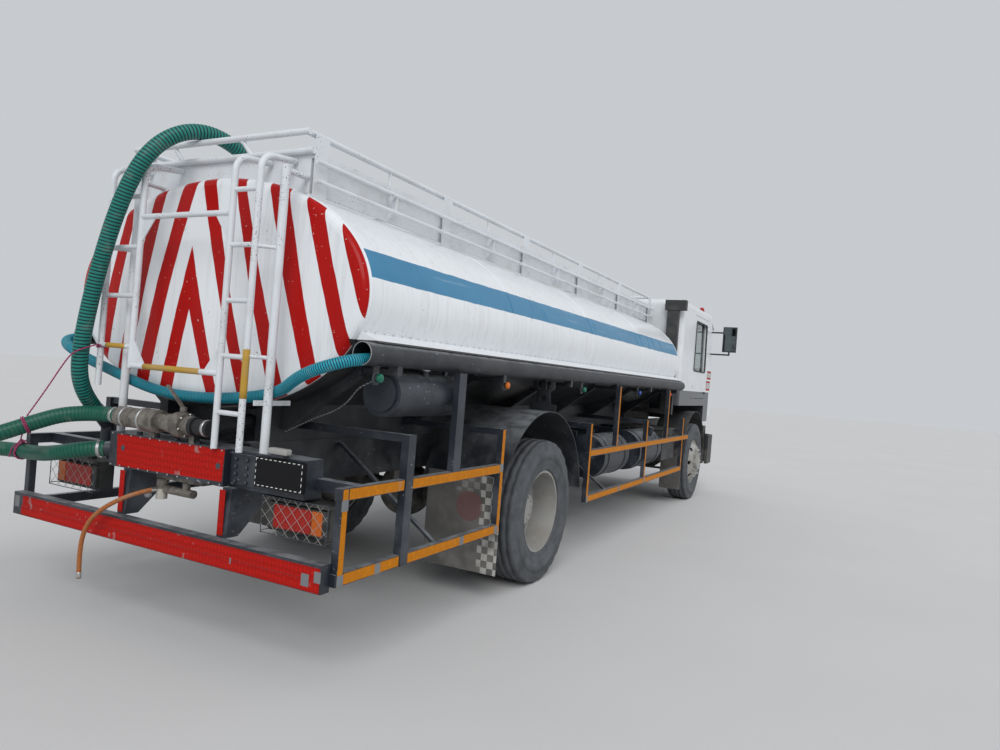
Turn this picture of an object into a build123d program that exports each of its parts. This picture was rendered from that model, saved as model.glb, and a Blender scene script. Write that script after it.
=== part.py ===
from build123d import *
from math import cos, pi, radians, sin, sqrt, tan
import os

# Two-axle water tanker truck, in millimetres.
# +X is forwards, +Y is the truck's left side, +Z is up, and z = 0 is the ground.

# Driving dimensions of the whole truck
wheelbase = 5300
rear_overhang = 2385
front_overhang = 1305
truck_length = rear_overhang + wheelbase + front_overhang
rear_x = -truck_length / 2
rear_axle_x = rear_x + rear_overhang
front_axle_x = rear_axle_x + wheelbase
front_x = truck_length / 2
guard_half_width = 1220

# Wheels and tyres
tyre_radius = 525
tyre_width = 280
rim_radius = 298
twin_spacing = 320
rear_tyre_outer_y = 1235
front_tyre_outer_y = 1190
hub_bore_radius = 45
running_gap = 0.05
wheel_z = tyre_radius

# Chassis rails and the frame that carries the tank
rail_half_width = 430
rail_height = 250
rail_flange = 75
rail_wall = 8
rail_top_z = 1040
rail_front_x = 4230
crossmember_size = 70
bolster_width = 70
bolster_y = 390
saddle_thickness = 60
saddle_half_width = 960
saddle_foot_z = 1110
seat_gap = 0.3

# Tank
tank_rear_x = rear_x + 295
cab_rear_x = front_x - 2155
tank_to_cab = 200
tank_front_x = cab_rear_x - tank_to_cab
tank_length = tank_front_x - tank_rear_x
tank_half_width = 1115
tank_half_height = 640
tank_z = 1835
head_rings = (
    # distance out from the tank's end, distance in from its edge
    (0, 0), (14, 4), (27, 13), (36, 26), (42, 46), (50, 190), (56, 350), (60, 540),
)
flange_z = 1616
flange_outer_y = 1175
flange_wall = 10
flange_weld_z = 1662
neck_radius = 260
neck_height = 70
manhole_xs = (-2650, 950)
lid_radius = 285
lid_thickness = 14
lid_lift = 1.0
lid_hinge_reach = lid_radius + 25
lid_pin_radius = 10
neck_top_z = tank_z + tank_half_height + neck_height
lid_hinge_z = neck_top_z + 24

# Walkway on the tank's top
coaming_y = 660
coaming_wall = 8
coaming_above_tank = 105
coaming_top_z = tank_z + tank_half_height + coaming_above_tank
coaming_cap_width = 46
coaming_cap_height = 34
coaming_foot_z = coaming_top_z - 215
rail_pipe_radius = 17
top_rail_z = coaming_top_z + 92
side_pipe_radius = 12
side_pipe_y = coaming_y + 62
side_pipe_zs = (coaming_top_z - 60, coaming_top_z - 160)
walkway_post_width = 100
walkway_post_wall = 8
walkway_post_count = 6

# Hose tubes along both sides
tube_radius = 57
tube_wall = 4
tube_y = 1150
tube_z = flange_z - flange_wall / 2 - tube_radius - seat_gap
tube_rear_xs = {-1: tank_rear_x - 80, 1: tank_rear_x}
tube_front_x = tank_front_x + 70

# Side guards
guard_bar_depth = 40
guard_bar_height = 58
guard_low_z = 508
guard_high_z = 899
guard_post_width = 40
rear_guard_front_x = -2820
front_guard_rear_x = -1200
front_guard_low_front_x = 2250
front_guard_high_front_x = 2560

# Rear underrun guard and crossmember
underrun_half_width = 1190
underrun_height = 130
underrun_depth = 60
underrun_low_z = 455
rear_guard_rear_x = rear_x + underrun_depth + seat_gap
box_half_width = 450
box_rear_x = rear_x + 75
box_depth = 190
box_low_z = 830
box_high_z = 1020

# Ladders
ladder_x = rear_x + 55
ladder_rail_radius = 17
rung_radius = 13
gate_rod_radius = 15
post_radius = 22

# Cab
cab_half_width = 1100
cab_wall = 45
cab_front_x = front_x - 25
cab_floor_z = 1300
cab_nose_z = 1060
cab_roof_z = 2690
windscreen_foot = (4405, 1740)
windscreen_head = (4150, 2690)
arch_front_x = 3960
cab_pivot_x = 4345
cab_pivot_z = 920
door_rear_x = 3040
door_front_x = 3940
door_low_z = 1400
door_high_z = 2560
door_gap = 6
door_hinge_x = 3937
door_hinge_y = cab_half_width + 12
door_hinge_zs = (1520, 2440)
door_barrel_radius = 11.7
door_pin_radius = 6
glass_thickness = 6

# Front mudguard, steering and axle
mudguard_radius = 700
mudguard_wall = 6
kingpin_y = 880
kingpin_radius = 24
stub_radius = hub_bore_radius - running_gap
steer_arm_length = 190
tie_rod_radius = 16
spring_half_length = 740
spring_y = 430

# Hoses
thick_hose = 88
thin_hose = 60
drain_hose = 24


def block(x, y, z, mode=Mode.ADD):
    """A box between pairs of coordinates."""
    with Locations(((x[0] + x[1]) / 2, (y[0] + y[1]) / 2, (z[0] + z[1]) / 2)):
        Box(abs(x[1] - x[0]), abs(y[1] - y[0]), abs(z[1] - z[0]), mode=mode)


def rod(start, end, radius, mode=Mode.ADD):
    """A round bar from one point to another."""
    run = Vector(*end) - Vector(*start)
    with BuildSketch(Plane(origin=start, z_dir=run)) as section:
        Circle(radius)
    extrude(section.sketch, amount=run.length, mode=mode)


def square_bar(start, end, width, height):
    """A rectangular bar from one point to another, width across and height along its upright."""
    run = Vector(*end) - Vector(*start)
    across = Vector(0, 0, 1).cross(run)
    with BuildSketch(Plane(origin=start, x_dir=across, z_dir=run)) as section:
        Rectangle(width, height)
    extrude(section.sketch, amount=run.length)


def bent_pipe(points, radii, radius):
    """A round pipe along straight runs joined by arcs."""
    with BuildLine() as route:
        FilletPolyline(*points, radius=radii)
    with BuildSketch(Plane(origin=points[0], z_dir=Vector(*points[1]) - Vector(*points[0]))) as section:
        Circle(radius)
    sweep(section.sketch, path=route.line)


def side_plate(points, y_low, y_high, mode=Mode.ADD):
    """A plate whose outline is drawn in X and Z, between two values of Y."""
    with BuildSketch(Plane(origin=(0, y_high, 0), x_dir=(1, 0, 0), z_dir=(0, -1, 0))) as section:
        with BuildLine():
            Polyline(*points, close=True)
        make_face()
    extrude(section.sketch, amount=y_high - y_low, mode=mode)


def cross_plate(points, x_low, x_high, mode=Mode.ADD):
    """A plate whose outline is drawn in Y and Z, between two values of X."""
    with BuildSketch(Plane(origin=(x_low, 0, 0), x_dir=(0, 1, 0), z_dir=(1, 0, 0))) as section:
        with BuildLine():
            Polyline(*points, close=True)
        make_face()
    extrude(section.sketch, amount=x_high - x_low, mode=mode)


def tank_section(x_low, x_high, gap, mode):
    """The tank's elliptical section between two values of X, larger all round by a gap."""
    with BuildSketch(Plane(origin=(x_low, 0, 0), x_dir=(0, 1, 0), z_dir=(1, 0, 0))) as section:
        with Locations((0, tank_z)):
            Ellipse(tank_half_width + gap, tank_half_height + gap)
    extrude(section.sketch, amount=x_high - x_low, mode=mode)


def half_arch(centre_x, centre_z, radius, wall, y_low, y_high, start, end):
    """A curved sheet round the Y axis through a wheel centre, from one angle to another."""
    with BuildSketch(Plane(origin=(centre_x, y_high, centre_z), x_dir=(1, 0, 0), z_dir=(0, -1, 0))) as section:
        with BuildLine():
            CenterArc((0, 0), radius, start, end - start)
            CenterArc((0, 0), radius - wall, start, end - start)
            for angle in (start, end):
                turn = radians(angle)
                Line((radius * cos(turn), radius * sin(turn)),
                     ((radius - wall) * cos(turn), (radius - wall) * sin(turn)))
        make_face()
    extrude(section.sketch, amount=y_high - y_low)


def finish(piece, label):
    """Names a finished piece and writes it."""
    piece.part.label = label
    export_step(piece.part, f"parts/{label}.step")


def tank_top(y):
    """Height of the tank's upper surface at a distance from its middle."""
    return tank_z + tank_half_height * sqrt(1 - (y / tank_half_width) ** 2)


def tank_side(z):
    """Half width of the tank at a height."""
    return tank_half_width * sqrt(1 - ((z - tank_z) / tank_half_height) ** 2)


os.makedirs("parts", exist_ok=True)
sides = (-1, 1)
side_names = {-1: "right", 1: "left"}

# Chassis frame: two channel rails joined by crossmembers
crossmember_xs = (-3900, -2900, -1350, -300, 900, 1850, 4000)
rail_low_z = rail_top_z - rail_height
with BuildPart() as chassis_frame:
    for side in sides:
        outer = side * rail_half_width
        inner = side * (rail_half_width - rail_flange)
        block((box_rear_x + box_depth, rail_front_x), (outer, inner), (rail_low_z, rail_top_z))
        block((box_rear_x + box_depth, rail_front_x), (outer - side * rail_wall, inner),
              (rail_low_z + rail_wall, rail_top_z - rail_wall), Mode.SUBTRACT)
    web_y = rail_half_width - rail_wall
    for x in crossmember_xs:
        block((x - crossmember_size / 2, x + crossmember_size / 2), (-web_y, web_y),
              (rail_low_z + 60, rail_top_z - 60))
    for side in sides:
        side_plate(((3960, rail_low_z + 40), (cab_pivot_x + 20, rail_low_z + 40), (cab_pivot_x + 30, cab_pivot_z),
                    (cab_pivot_x, cab_pivot_z + 30), (cab_pivot_x - 40, cab_pivot_z + 20), (4150, rail_top_z - 10),
                    (3960, rail_top_z - 10)),
                   min(side * 400, side * 380), max(side * 400, side * 380))
        rod((cab_pivot_x, side * 400, cab_pivot_z), (cab_pivot_x, side * 460, cab_pivot_z), 20)
finish(chassis_frame, "chassis_frame")

# Tank subframe: two long bolsters on the rails and curved saddles under the tank
saddle_xs = [tank_rear_x + 200 + step * (tank_length - 400) / 5 for step in range(6)]
with BuildPart() as tank_subframe:
    for side in sides:
        block((tank_rear_x + 60, tank_front_x - 60),
              (side * bolster_y - bolster_width / 2, side * bolster_y + bolster_width / 2),
              (rail_top_z, tank_z - tank_half_height + 120))
    for x in saddle_xs:
        half = saddle_half_width
        cross_plate(((-half, tank_z - 310), (-half, tank_z - 380), (-rail_half_width - 40, saddle_foot_z),
                     (rail_half_width + 40, saddle_foot_z), (half, tank_z - 380), (half, tank_z - 310)),
                    x - saddle_thickness / 2, x + saddle_thickness / 2)
    tank_section(tank_rear_x - 100, tank_front_x + 100, seat_gap, Mode.SUBTRACT)
finish(tank_subframe, "tank_subframe")

# Tank: elliptical shell with dished ends, side flanges and two manhole necks
tank_heads = []
for end_x, way in ((tank_rear_x, -1), (tank_front_x, 1)):
    with BuildPart() as head:
        for out, inset in head_rings:
            with BuildSketch(Plane(origin=(end_x + way * out, 0, 0), x_dir=(0, way, 0), z_dir=(way, 0, 0))):
                with Locations((0, tank_z)):
                    Ellipse(tank_half_width - inset, tank_half_height - inset)
        loft(ruled=True)
    tank_heads.append(head.part)
with BuildPart() as tank_shell:
    tank_section(tank_rear_x, tank_front_x, 0, Mode.ADD)
    for head in tank_heads:
        add(head)
    for side in sides:
        low_z, high_z = flange_z - flange_wall / 2, flange_z + flange_wall / 2
        cross_plate(((side * (tank_side(low_z) - 20), low_z), (side * flange_outer_y, low_z),
                     (side * flange_outer_y, high_z), (side * tank_side(flange_weld_z), flange_weld_z),
                     (side * (tank_side(flange_weld_z) - 20), flange_weld_z)), tank_rear_x, tank_front_x)
    for x in manhole_xs:
        with Locations((x, 0, neck_top_z - neck_height / 2 - 10)):
            Cylinder(neck_radius, neck_height + 20)
        block((x + lid_hinge_reach - 15, x + lid_hinge_reach + 15), (-70, 70),
              (neck_top_z - neck_height - 10, lid_hinge_z + 10))
        rod((x + lid_hinge_reach, -108, lid_hinge_z), (x + lid_hinge_reach, 108, lid_hinge_z), lid_pin_radius)
finish(tank_shell, "tank_shell")

# Manhole lids, each hinged at its front edge
for x, name in zip(manhole_xs, ("rear", "front")):
    with BuildPart() as lid:
        with Locations((x, 0, neck_top_z + lid_lift + lid_thickness / 2)):
            Cylinder(lid_radius, lid_thickness)
        with Locations((x, 0, neck_top_z + lid_lift + lid_thickness + 9)):
            Cylinder(lid_radius - 60, 18)
        for side in sides:
            block((x + lid_radius - 60, x + lid_hinge_reach + 18), (side * 90 - 14, side * 90 + 14),
                  (neck_top_z + lid_lift, neck_top_z + lid_lift + 44))
        rod((x + lid_hinge_reach, -120, lid_hinge_z), (x + lid_hinge_reach, 120, lid_hinge_z),
            lid_pin_radius + running_gap, Mode.SUBTRACT)
        rod((x - 40, 0, neck_top_z + 30), (x - 40, 0, neck_top_z + 60), 12)
        rod((x - 100, 0, neck_top_z + 60), (x + 20, 0, neck_top_z + 60), 9)
    finish(lid, f"manhole_lid_{name}")

# Walkway: folded side walls with flat posts, gussets, outer pipes and a top rail
walk_rear_x = tank_rear_x
walk_front_x = tank_front_x + 40
post_step = (walk_front_x - walk_rear_x - walkway_post_width) / (walkway_post_count - 1)
post_xs = [walk_rear_x + walkway_post_width / 2 + step * post_step for step in range(walkway_post_count)]
gusset_xs = [x + post_step / 2 for x in post_xs[:-1]]
with BuildPart() as walkway_coaming:
    for side in sides:
        y = side * coaming_y
        block((walk_rear_x, walk_front_x), (y - coaming_wall / 2, y + coaming_wall / 2),
              (coaming_foot_z, coaming_top_z))
        block((walk_rear_x, walk_front_x), (y - coaming_cap_width / 2, y + coaming_cap_width / 2),
              (coaming_top_z - coaming_cap_height, coaming_top_z))
        for x in post_xs:
            block((x - walkway_post_width / 2, x + walkway_post_width / 2),
                  (y + side * coaming_cap_width / 2, y + side * (coaming_cap_width / 2 + walkway_post_wall)),
                  (tank_top(coaming_y + 32) - 4, top_rail_z))
        for x in gusset_xs:
            cross_plate(((y, coaming_foot_z + 10), (side * (side_pipe_y + 6), side_pipe_zs[1] - 4),
                         (side * (side_pipe_y + 6), side_pipe_zs[0] - 10), (y, coaming_top_z - 10)),
                        x - 4, x + 4)
            rod((x, y, coaming_top_z - 10), (x, y, top_rail_z), 9)
        for z in side_pipe_zs:
            rod((walk_rear_x - 20, side * side_pipe_y, z), (walk_front_x, side * side_pipe_y, z), side_pipe_radius)
        rod((walk_rear_x - 30, y, top_rail_z), (walk_front_x, y, top_rail_z), rail_pipe_radius)
    for x in (walk_rear_x, walk_front_x - coaming_wall):
        block((x, x + coaming_wall), (-coaming_y, coaming_y), (coaming_foot_z, coaming_top_z))
    for x in (walk_rear_x - 40, walk_front_x - 20):
        rod((x, -coaming_y - 20, top_rail_z), (x, coaming_y + 20, top_rail_z), rail_pipe_radius)
    rod((walk_rear_x - 14, -coaming_y - 30, coaming_top_z), (walk_rear_x - 14, coaming_y + 30, coaming_top_z),
        rail_pipe_radius)
    for y in (-250, 290):
        rod((walk_rear_x - 14, y, coaming_top_z), (walk_rear_x - 40, y + 60, top_rail_z), 12)
    tank_section(tank_rear_x - 1, walk_front_x + 1, seat_gap, Mode.SUBTRACT)
finish(walkway_coaming, "walkway_coaming")

# Rear ladders: two ladders whose inner rails carry a gate of two rungs with corner plates
right_rail_ys = (-565, -390)
left_rail_ys = (300, 570)
rail_top_z_ladder = 2500
ladder_foot = {-565: box_high_z + seat_gap, -390: box_high_z + seat_gap, 300: 1385, 570: 1270}
post_x = box_rear_x + 62
rung_rows = (
    # pair of rails, heights of the rungs
    (right_rail_ys, (1205, 1490, 1770, 2050, 2330)),
    (left_rail_ys, (1500, 1780, 2050, 2330)),
)
with BuildPart() as rear_ladders:
    for y, foot_z in ladder_foot.items():
        bent_pipe(((ladder_x, y, foot_z), (ladder_x, y, rail_top_z_ladder), (walk_rear_x - 14, y, rail_top_z_ladder + 30)),
                  (80,), ladder_rail_radius)
    for rails, heights in rung_rows:
        for z in heights:
            rod((ladder_x, rails[0] - 3, z), (ladder_x, rails[1] + 3, z), rung_radius)
    gate = (right_rail_ys[1], left_rail_ys[0])
    for z, way in ((1398, 1), (2215, -1)):
        rod((ladder_x, gate[0] - 3, z), (ladder_x, gate[1] + 3, z), gate_rod_radius)
        for y, inward in ((gate[0] + 6, 1), (gate[1] - 6, -1)):
            cross_plate(((y, z + way * 6), (y + inward * 110, z + way * 6), (y, z + way * 150)),
                        ladder_x - 4, ladder_x + 2)
    for y, nearest in ((-650, right_rail_ys[0]), (455, left_rail_ys[1])):
        rod((post_x, y, box_high_z + seat_gap), (post_x, y, 2462), post_radius)
        rod((post_x, y, 2442), (tank_rear_x - seat_gap, y, 2442), 15)
        for z in (2046, 1496):
            rod((ladder_x, nearest, z), (post_x, y, z), 10)
finish(rear_ladders, "rear_ladders")

# Hose tubes under the side flanges, with the arms that carry them and pads for the marker lamps
marker_xs = (-4160, -2765, -1320, 320, 1610)
with BuildPart() as hose_tubes:
    for side in sides:
        y = side * tube_y
        for x in saddle_xs:
            block((x - 20, x + 20), (side * (saddle_half_width + seat_gap), side * (tube_y - 10)),
                  (tank_z - 380, tank_z - 350))
            block((x - 20, x + 20), (side * (tube_y - 30), side * (tube_y + 30)),
                  (tank_z - 380, tube_z - tube_radius + 10))
        for x in marker_xs:
            block((x - 22, x + 22), (y - 10, y + 10), (tube_z - tube_radius - 4, tube_z - 40))
        rod((tube_rear_xs[side], y, tube_z), (tube_front_x, y, tube_z), tube_radius)
        rod((tube_rear_xs[side], y, tube_z), (tube_front_x, y, tube_z), tube_radius - tube_wall, Mode.SUBTRACT)
finish(hose_tubes, "hose_tubes")

# Wash-water tank, a small black drum behind the right rear wheel
wash_rear_x = -3965
wash_length = 665
wash_dome = 28
wash_radius = 122
wash_y = -1050
wash_z = 1357
with BuildPart() as wash_water_tank:
    rod((wash_rear_x, wash_y, wash_z), (wash_rear_x + wash_length, wash_y, wash_z), wash_radius)
    rod((wash_rear_x - wash_dome / 2, wash_y, wash_z), (wash_rear_x + wash_length + wash_dome, wash_y, wash_z), wash_radius - 26)
    rod((wash_rear_x + 300, wash_y - 60, wash_z + 90), (wash_rear_x + 300, wash_y - 60, wash_z + 135), 22)
    for x in (wash_rear_x + 100, wash_rear_x + wash_length - 110):
        block((x - 15, x + 15), (-(tube_y - tube_radius - seat_gap), -(tube_y - tube_radius - 20)), (wash_z + wash_radius - 12, tube_z + 5))
finish(wash_water_tank, "wash_water_tank")

# Marker lamps, round lenses on hanging plates under the tubes
with BuildPart() as marker_lamps:
    for side in sides:
        y = side * tube_y
        for x in marker_xs:
            block((x - 22, x + 22), (y - 3, y + 3), (tube_z - 150, tube_z - tube_radius - 4 - seat_gap))
            rod((x, y, tube_z - 115), (x, y + side * 30, tube_z - 115), 22)
finish(marker_lamps, "marker_lamps")

# Rear mudguards, rolled sheets over the twin wheels, with a bar for the flap behind
rear_arch_radius = 741
flap_inner_y = 650
flap_outer_y = 1215
flap_front_x = rear_axle_x - rear_arch_radius + 44
with BuildPart() as rear_mudguards:
    for side in sides:
        low, high = sorted((side * 600, side * guard_half_width))
        half_arch(rear_axle_x, wheel_z, rear_arch_radius, mudguard_wall, low, high, 8, 160)
        for x in (rear_axle_x - 250, rear_axle_x + 250):
            block((x - 20, x + 20), (side * (bolster_y + bolster_width / 2 + seat_gap), side * 640),
                  (wheel_z + 640, wheel_z + 690))
        low, high = sorted((side * flap_inner_y, side * flap_outer_y))
        block((flap_front_x + seat_gap, flap_front_x + 40), (low, high), (795, 820))
    bracket_x, foot_z = rear_axle_x + 110, wheel_z + rear_arch_radius - 14
    cross_plate(((-1215, foot_z), (-1000, foot_z), (-1000, foot_z + 60), (-1040, foot_z + 60), (-1052, foot_z + 150),
                 (-1015, foot_z + 175), (-1015, foot_z + 235), (-1045, foot_z + 235), (-1060, foot_z + 180),
                 (-1085, foot_z + 165), (-1085, foot_z + 235), (-1125, foot_z + 235), (-1125, foot_z + 165),
                 (-1150, foot_z + 180), (-1165, foot_z + 235), (-1195, foot_z + 235), (-1195, foot_z + 175),
                 (-1158, foot_z + 150), (-1170, foot_z + 60), (-1215, foot_z + 60)), bracket_x - 3, bracket_x + 3)
    rod((bracket_x - 5, -1105, foot_z + 105), (bracket_x + 5, -1105, foot_z + 105), 26, Mode.SUBTRACT)
finish(rear_mudguards, "rear_mudguards")

# Mudflaps, rubber sheets behind the rear and the front wheels
with BuildPart() as mudflaps:
    for side in sides:
        low, high = sorted((side * flap_inner_y, side * flap_outer_y))
        block((flap_front_x - 8, flap_front_x), (low, high), (190, 830))
        low, high = sorted((side * 900, side * 1170))
        block((front_axle_x - mudguard_radius - 8.3, front_axle_x - mudguard_radius - seat_gap), (low, high), (200, 640))
finish(mudflaps, "mudflaps")


def guard_frame(side, low_x, high_x, low_front_x, posts, arms, braces):
    """A side guard: two long bars, upright posts, arms in to the tank's frame and braces down from the rail."""
    y = side * (guard_half_width - guard_bar_depth / 2)
    half = guard_bar_depth / 2
    for front_x, z in ((low_front_x, guard_low_z), (high_x, guard_high_z)):
        block((low_x, front_x), (y - half, y + half), (z - guard_bar_height / 2, z + guard_bar_height / 2))
    for x, width, z_low, z_high in posts:
        block((x - width / 2, x + width / 2), (y - half, y + half), (z_low, z_high))
    for x_low, x_high, z in arms:
        inner_y = rail_half_width if z < rail_top_z else bolster_y + bolster_width / 2
        block((x_low, x_high), (side * (inner_y + 0.5), y), (z - 20, z + 20))
    for x in braces:
        square_bar((x, side * (rail_half_width + 12), rail_top_z - 30), (x, y - side * 5, guard_low_z - 6), 30, 16)


post_foot_z = guard_low_z - guard_bar_height / 2
arm_z = 1135
high_top_z = arm_z + 20
post_top_z = tube_z - tube_radius - 2
rear_post_x = -3903
with BuildPart() as side_guards_rear:
    for side in sides:
        guard_frame(side, rear_guard_rear_x, rear_guard_front_x, rear_guard_front_x,
                    ((rear_guard_rear_x + 30, guard_post_width, post_foot_z, guard_high_z),
                     (-3422, 80, guard_high_z, post_top_z),
                     (rear_guard_front_x - 20, guard_post_width, post_foot_z, high_top_z)),
                    ((rear_post_x - 20, rear_post_x + 20, arm_z), (rear_guard_front_x - 40, rear_guard_front_x - 22.5, arm_z)),
                    (-3520,))
        block((rear_post_x - 33, rear_post_x + 33), (side * (guard_half_width - guard_bar_depth), side * (guard_half_width + 6)),
              (post_foot_z, high_top_z))
finish(side_guards_rear, "side_guards_rear")

with BuildPart() as side_guards_front:
    for side in sides:
        guard_frame(side, front_guard_rear_x, front_guard_high_front_x, front_guard_low_front_x,
                    ((front_guard_rear_x + 20, guard_post_width, post_foot_z, high_top_z),
                     (-460, guard_post_width, guard_high_z, post_top_z),
                     (565, guard_post_width, post_foot_z, high_top_z),
                     (1420, guard_post_width, guard_high_z, post_top_z),
                     (2230, guard_post_width, post_foot_z, high_top_z)),
                    ((front_guard_rear_x, front_guard_rear_x + 40, arm_z), (545, 585, arm_z), (2210, 2250, 985)),
                    (-565,))
finish(side_guards_front, "side_guards_front")

# Rear underrun guard: a deep bar on two tapered brackets
with BuildPart() as underrun_guard:
    block((rear_x, rear_x + underrun_depth), (-underrun_half_width, underrun_half_width),
          (underrun_low_z, underrun_low_z + underrun_height))
    for y_low, y_high in ((-520, -455), (250, 315)):
        top_x = box_rear_x + 330
        side_plate(((box_rear_x - 20, underrun_low_z + underrun_height), (box_rear_x + 60, underrun_low_z + underrun_height),
                    (top_x, box_low_z), (box_rear_x, box_low_z)), y_low, y_high)
finish(underrun_guard, "underrun_guard")

# Rear crossmember: a box across the rails' ends, with arms out to the side guards
arm_x = (box_rear_x + 120, box_rear_x + 180)
with BuildPart() as rear_crossmember:
    block((box_rear_x, box_rear_x + box_depth), (-box_half_width, box_half_width), (box_low_z, box_high_z))
    block((box_rear_x + 40, box_rear_x + 165), (-950, -box_half_width), (box_low_z, box_high_z))
    block(arm_x, (box_half_width, guard_half_width - guard_bar_depth), (870, 928))
    block(arm_x, (-guard_half_width + guard_bar_depth, -950), (870, 928))
    block((box_rear_x + 30, box_rear_x + 40), (-955, -640), (box_low_z + 20, box_high_z))
    block((box_rear_x, box_rear_x + 40), (-840, -760), (box_high_z, box_high_z + 26))
    rod((-4348, 424, 924), (-4405, 505, 915), 40)
    rod((-4265, 708, 1021), (-4334.8, 696.05, 1092.8), 36)
    rod((-4265, 708, 928), (-4265, 708, 1040), 36)
finish(rear_crossmember, "rear_crossmember")

# Tail lamps: long housings on brackets behind the wheels
lamp_rear_x = box_rear_x + 90
with BuildPart() as tail_lamps:
    for side in sides:
        low, high = sorted((side * 670, side * 1065))
        block((lamp_rear_x + 20, lamp_rear_x + 90), (low, high), (640, 800))
        block((lamp_rear_x, lamp_rear_x + 20), (low + 15, high - 15), (655, 785))
        block((lamp_rear_x - 20, lamp_rear_x + 120), (low - 20, high + 20), (800, 812))
        hanger_top_z = box_low_z if side < 0 else 870
        block((box_rear_x + 125, box_rear_x + 160), (side * 790, side * 830), (812, hanger_top_z - seat_gap))
finish(tail_lamps, "tail_lamps")

# Discharge valve: pipe, ball valve with lever, and hose coupling, lying across the rear
valve_x = box_rear_x - 5
valve_z = 1112
with BuildPart() as discharge_valve:
    rod((valve_x, -345, valve_z), (valve_x, -240, valve_z), 42)
    rod((valve_x, -240, valve_z), (valve_x, -30, valve_z), 50)
    rod((valve_x, -165, valve_z), (valve_x, -95, valve_z), 66)
    rod((valve_x, -30, valve_z), (valve_x, 40, valve_z), 42)
    rod((valve_x, 40, valve_z), (valve_x, 180, valve_z), 62)
    rod((valve_x, 180, valve_z), (valve_x, 370, valve_z), 55)
    rod((valve_x, -130, valve_z + 40), (valve_x, -130, valve_z + 92), 18)
    square_bar((valve_x, -130, valve_z + 86), (valve_x - 20, -20, valve_z + 200), 22, 8)
    bent_pipe(((valve_x, -300, valve_z), (valve_x + 90, -300, valve_z + 8), (tank_rear_x + 120, -300, valve_z + 38)),
              (60,), 40)
    rod((tank_rear_x + 110, -300, valve_z + 38), (tank_rear_x + 110, -300, 1212), 40)
    block((valve_x + 5, valve_x + 40), (90, 130), (box_high_z + seat_gap, valve_z - 40))
    block((valve_x + 5, valve_x + 40), (-220, -180), (box_high_z + seat_gap, valve_z - 30))
finish(discharge_valve, "discharge_valve")

# Drain valve under the rear crossmember
with BuildPart() as drain_valve:
    block((box_rear_x + 50, box_rear_x + 110), (-250, 110), (800, box_low_z))
    rod((box_rear_x + 60, 70, 690), (box_rear_x + 60, 70, 800), 30)
    rod((box_rear_x + 60, -180, 745), (box_rear_x + 60, 40, 745), 22)
    rod((box_rear_x + 60, -120, 745), (box_rear_x + 60, -120, 800), 20)
    rod((box_rear_x + 60, 63, 751), (box_rear_x + 5, 85, 740), 12)
finish(drain_valve, "drain_valve")

# Fuel tank and air tanks, drums along the right and left rails
drum_y = 930
drum_z = 800
with BuildPart() as fuel_tank:
    rod((620, -drum_y, drum_z), (1500, -drum_y, drum_z), 215)
    for x in (760, 1360):
        rod((x - 20, -drum_y, drum_z), (x + 20, -drum_y, drum_z), 221)
        block((x - 20, x + 20), (-drum_y + 150, -rail_half_width - 0.5), (rail_low_z - 60, rail_top_z - 20))
    rod((1180, -1060, drum_z + 160), (1180, -1090, drum_z + 250), 40)
finish(fuel_tank, "fuel_tank")

with BuildPart() as air_tanks:
    rod((-520, -drum_y, drum_z), (250, -drum_y, drum_z), 205)
    for x in (-380, 120):
        rod((x - 20, -drum_y, drum_z), (x + 20, -drum_y, drum_z), 211)
        block((x - 20, x + 20), (-drum_y + 150, -rail_half_width - 0.5), (rail_low_z - 60, rail_top_z - 20))
    for z in (rail_low_z + 40, rail_low_z - 170):
        rod((-500, 800, z), (300, 800, z), 100)
    for x in (-380, 180):
        block((x - 15, x + 15), (rail_half_width + 0.5, 790), (rail_low_z - 120, rail_low_z + 60))
finish(air_tanks, "air_tanks")

# Battery box on the right and exhaust silencer on the left
with BuildPart() as battery_box:
    block((1580, 2180), (-1130, -560), (640, 1000))
    block((1565, 2195), (-1140, -550), (1000, 1018))
    block((1640, 1700), (-560, -rail_half_width - 0.5), (860, 960))
    block((2040, 2100), (-560, -rail_half_width - 0.5), (860, 960))
finish(battery_box, "battery_box")

with BuildPart() as exhaust:
    rod((700, 760, 720), (1700, 760, 720), 150)
    bent_pipe(((1700, 760, 720), (1980, 760, 720), (2260, 262, 740), (2749.7, 262, 740)), (150, 110), 45)
    bent_pipe(((700, 760, 720), (480, 760, 720), (420, 980, 640)), (90,), 40)
    for x in (900, 1500):
        block((x - 15, x + 15), (rail_half_width + 0.5, 740), (rail_low_z + 30, rail_low_z + 80))
finish(exhaust, "exhaust")

# Front axle: dropped beam with kingpin eyes, on leaf springs
beam_z = 430
eye_z = wheel_z


def leaf_spring(centre_x, side, axle_top_z, hanger_z):
    """A stack of leaves that gets shorter downwards, with a hanger at each end."""
    y = side * spring_y
    for step in range(5):
        half = spring_half_length * (1 - 0.16 * step)
        rise = 70 - 14 * step
        with BuildSketch(Plane(origin=(centre_x, y + 38, 0), x_dir=(1, 0, 0), z_dir=(0, -1, 0))) as leaf:
            with BuildLine():
                base = axle_top_z + 58 - 14 * step
                ThreePointArc((-half, base + rise), (0, base), (half, base + rise))
                Line((half, base + rise), (half, base + rise - 14))
                ThreePointArc((half, base + rise - 14), (0, base - 14), (-half, base + rise - 14))
                Line((-half, base + rise - 14), (-half, base + rise))
            make_face()
        extrude(leaf.sketch, amount=76)
    for end in (-1, 1):
        x = centre_x + end * (spring_half_length - 20)
        block((x - 30, x + 30), (y - 38, y + 38), (axle_top_z + 100, hanger_z))
    block((centre_x - 60, centre_x + 60), (y - 50, y + 50), (axle_top_z - 70, axle_top_z))


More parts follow.
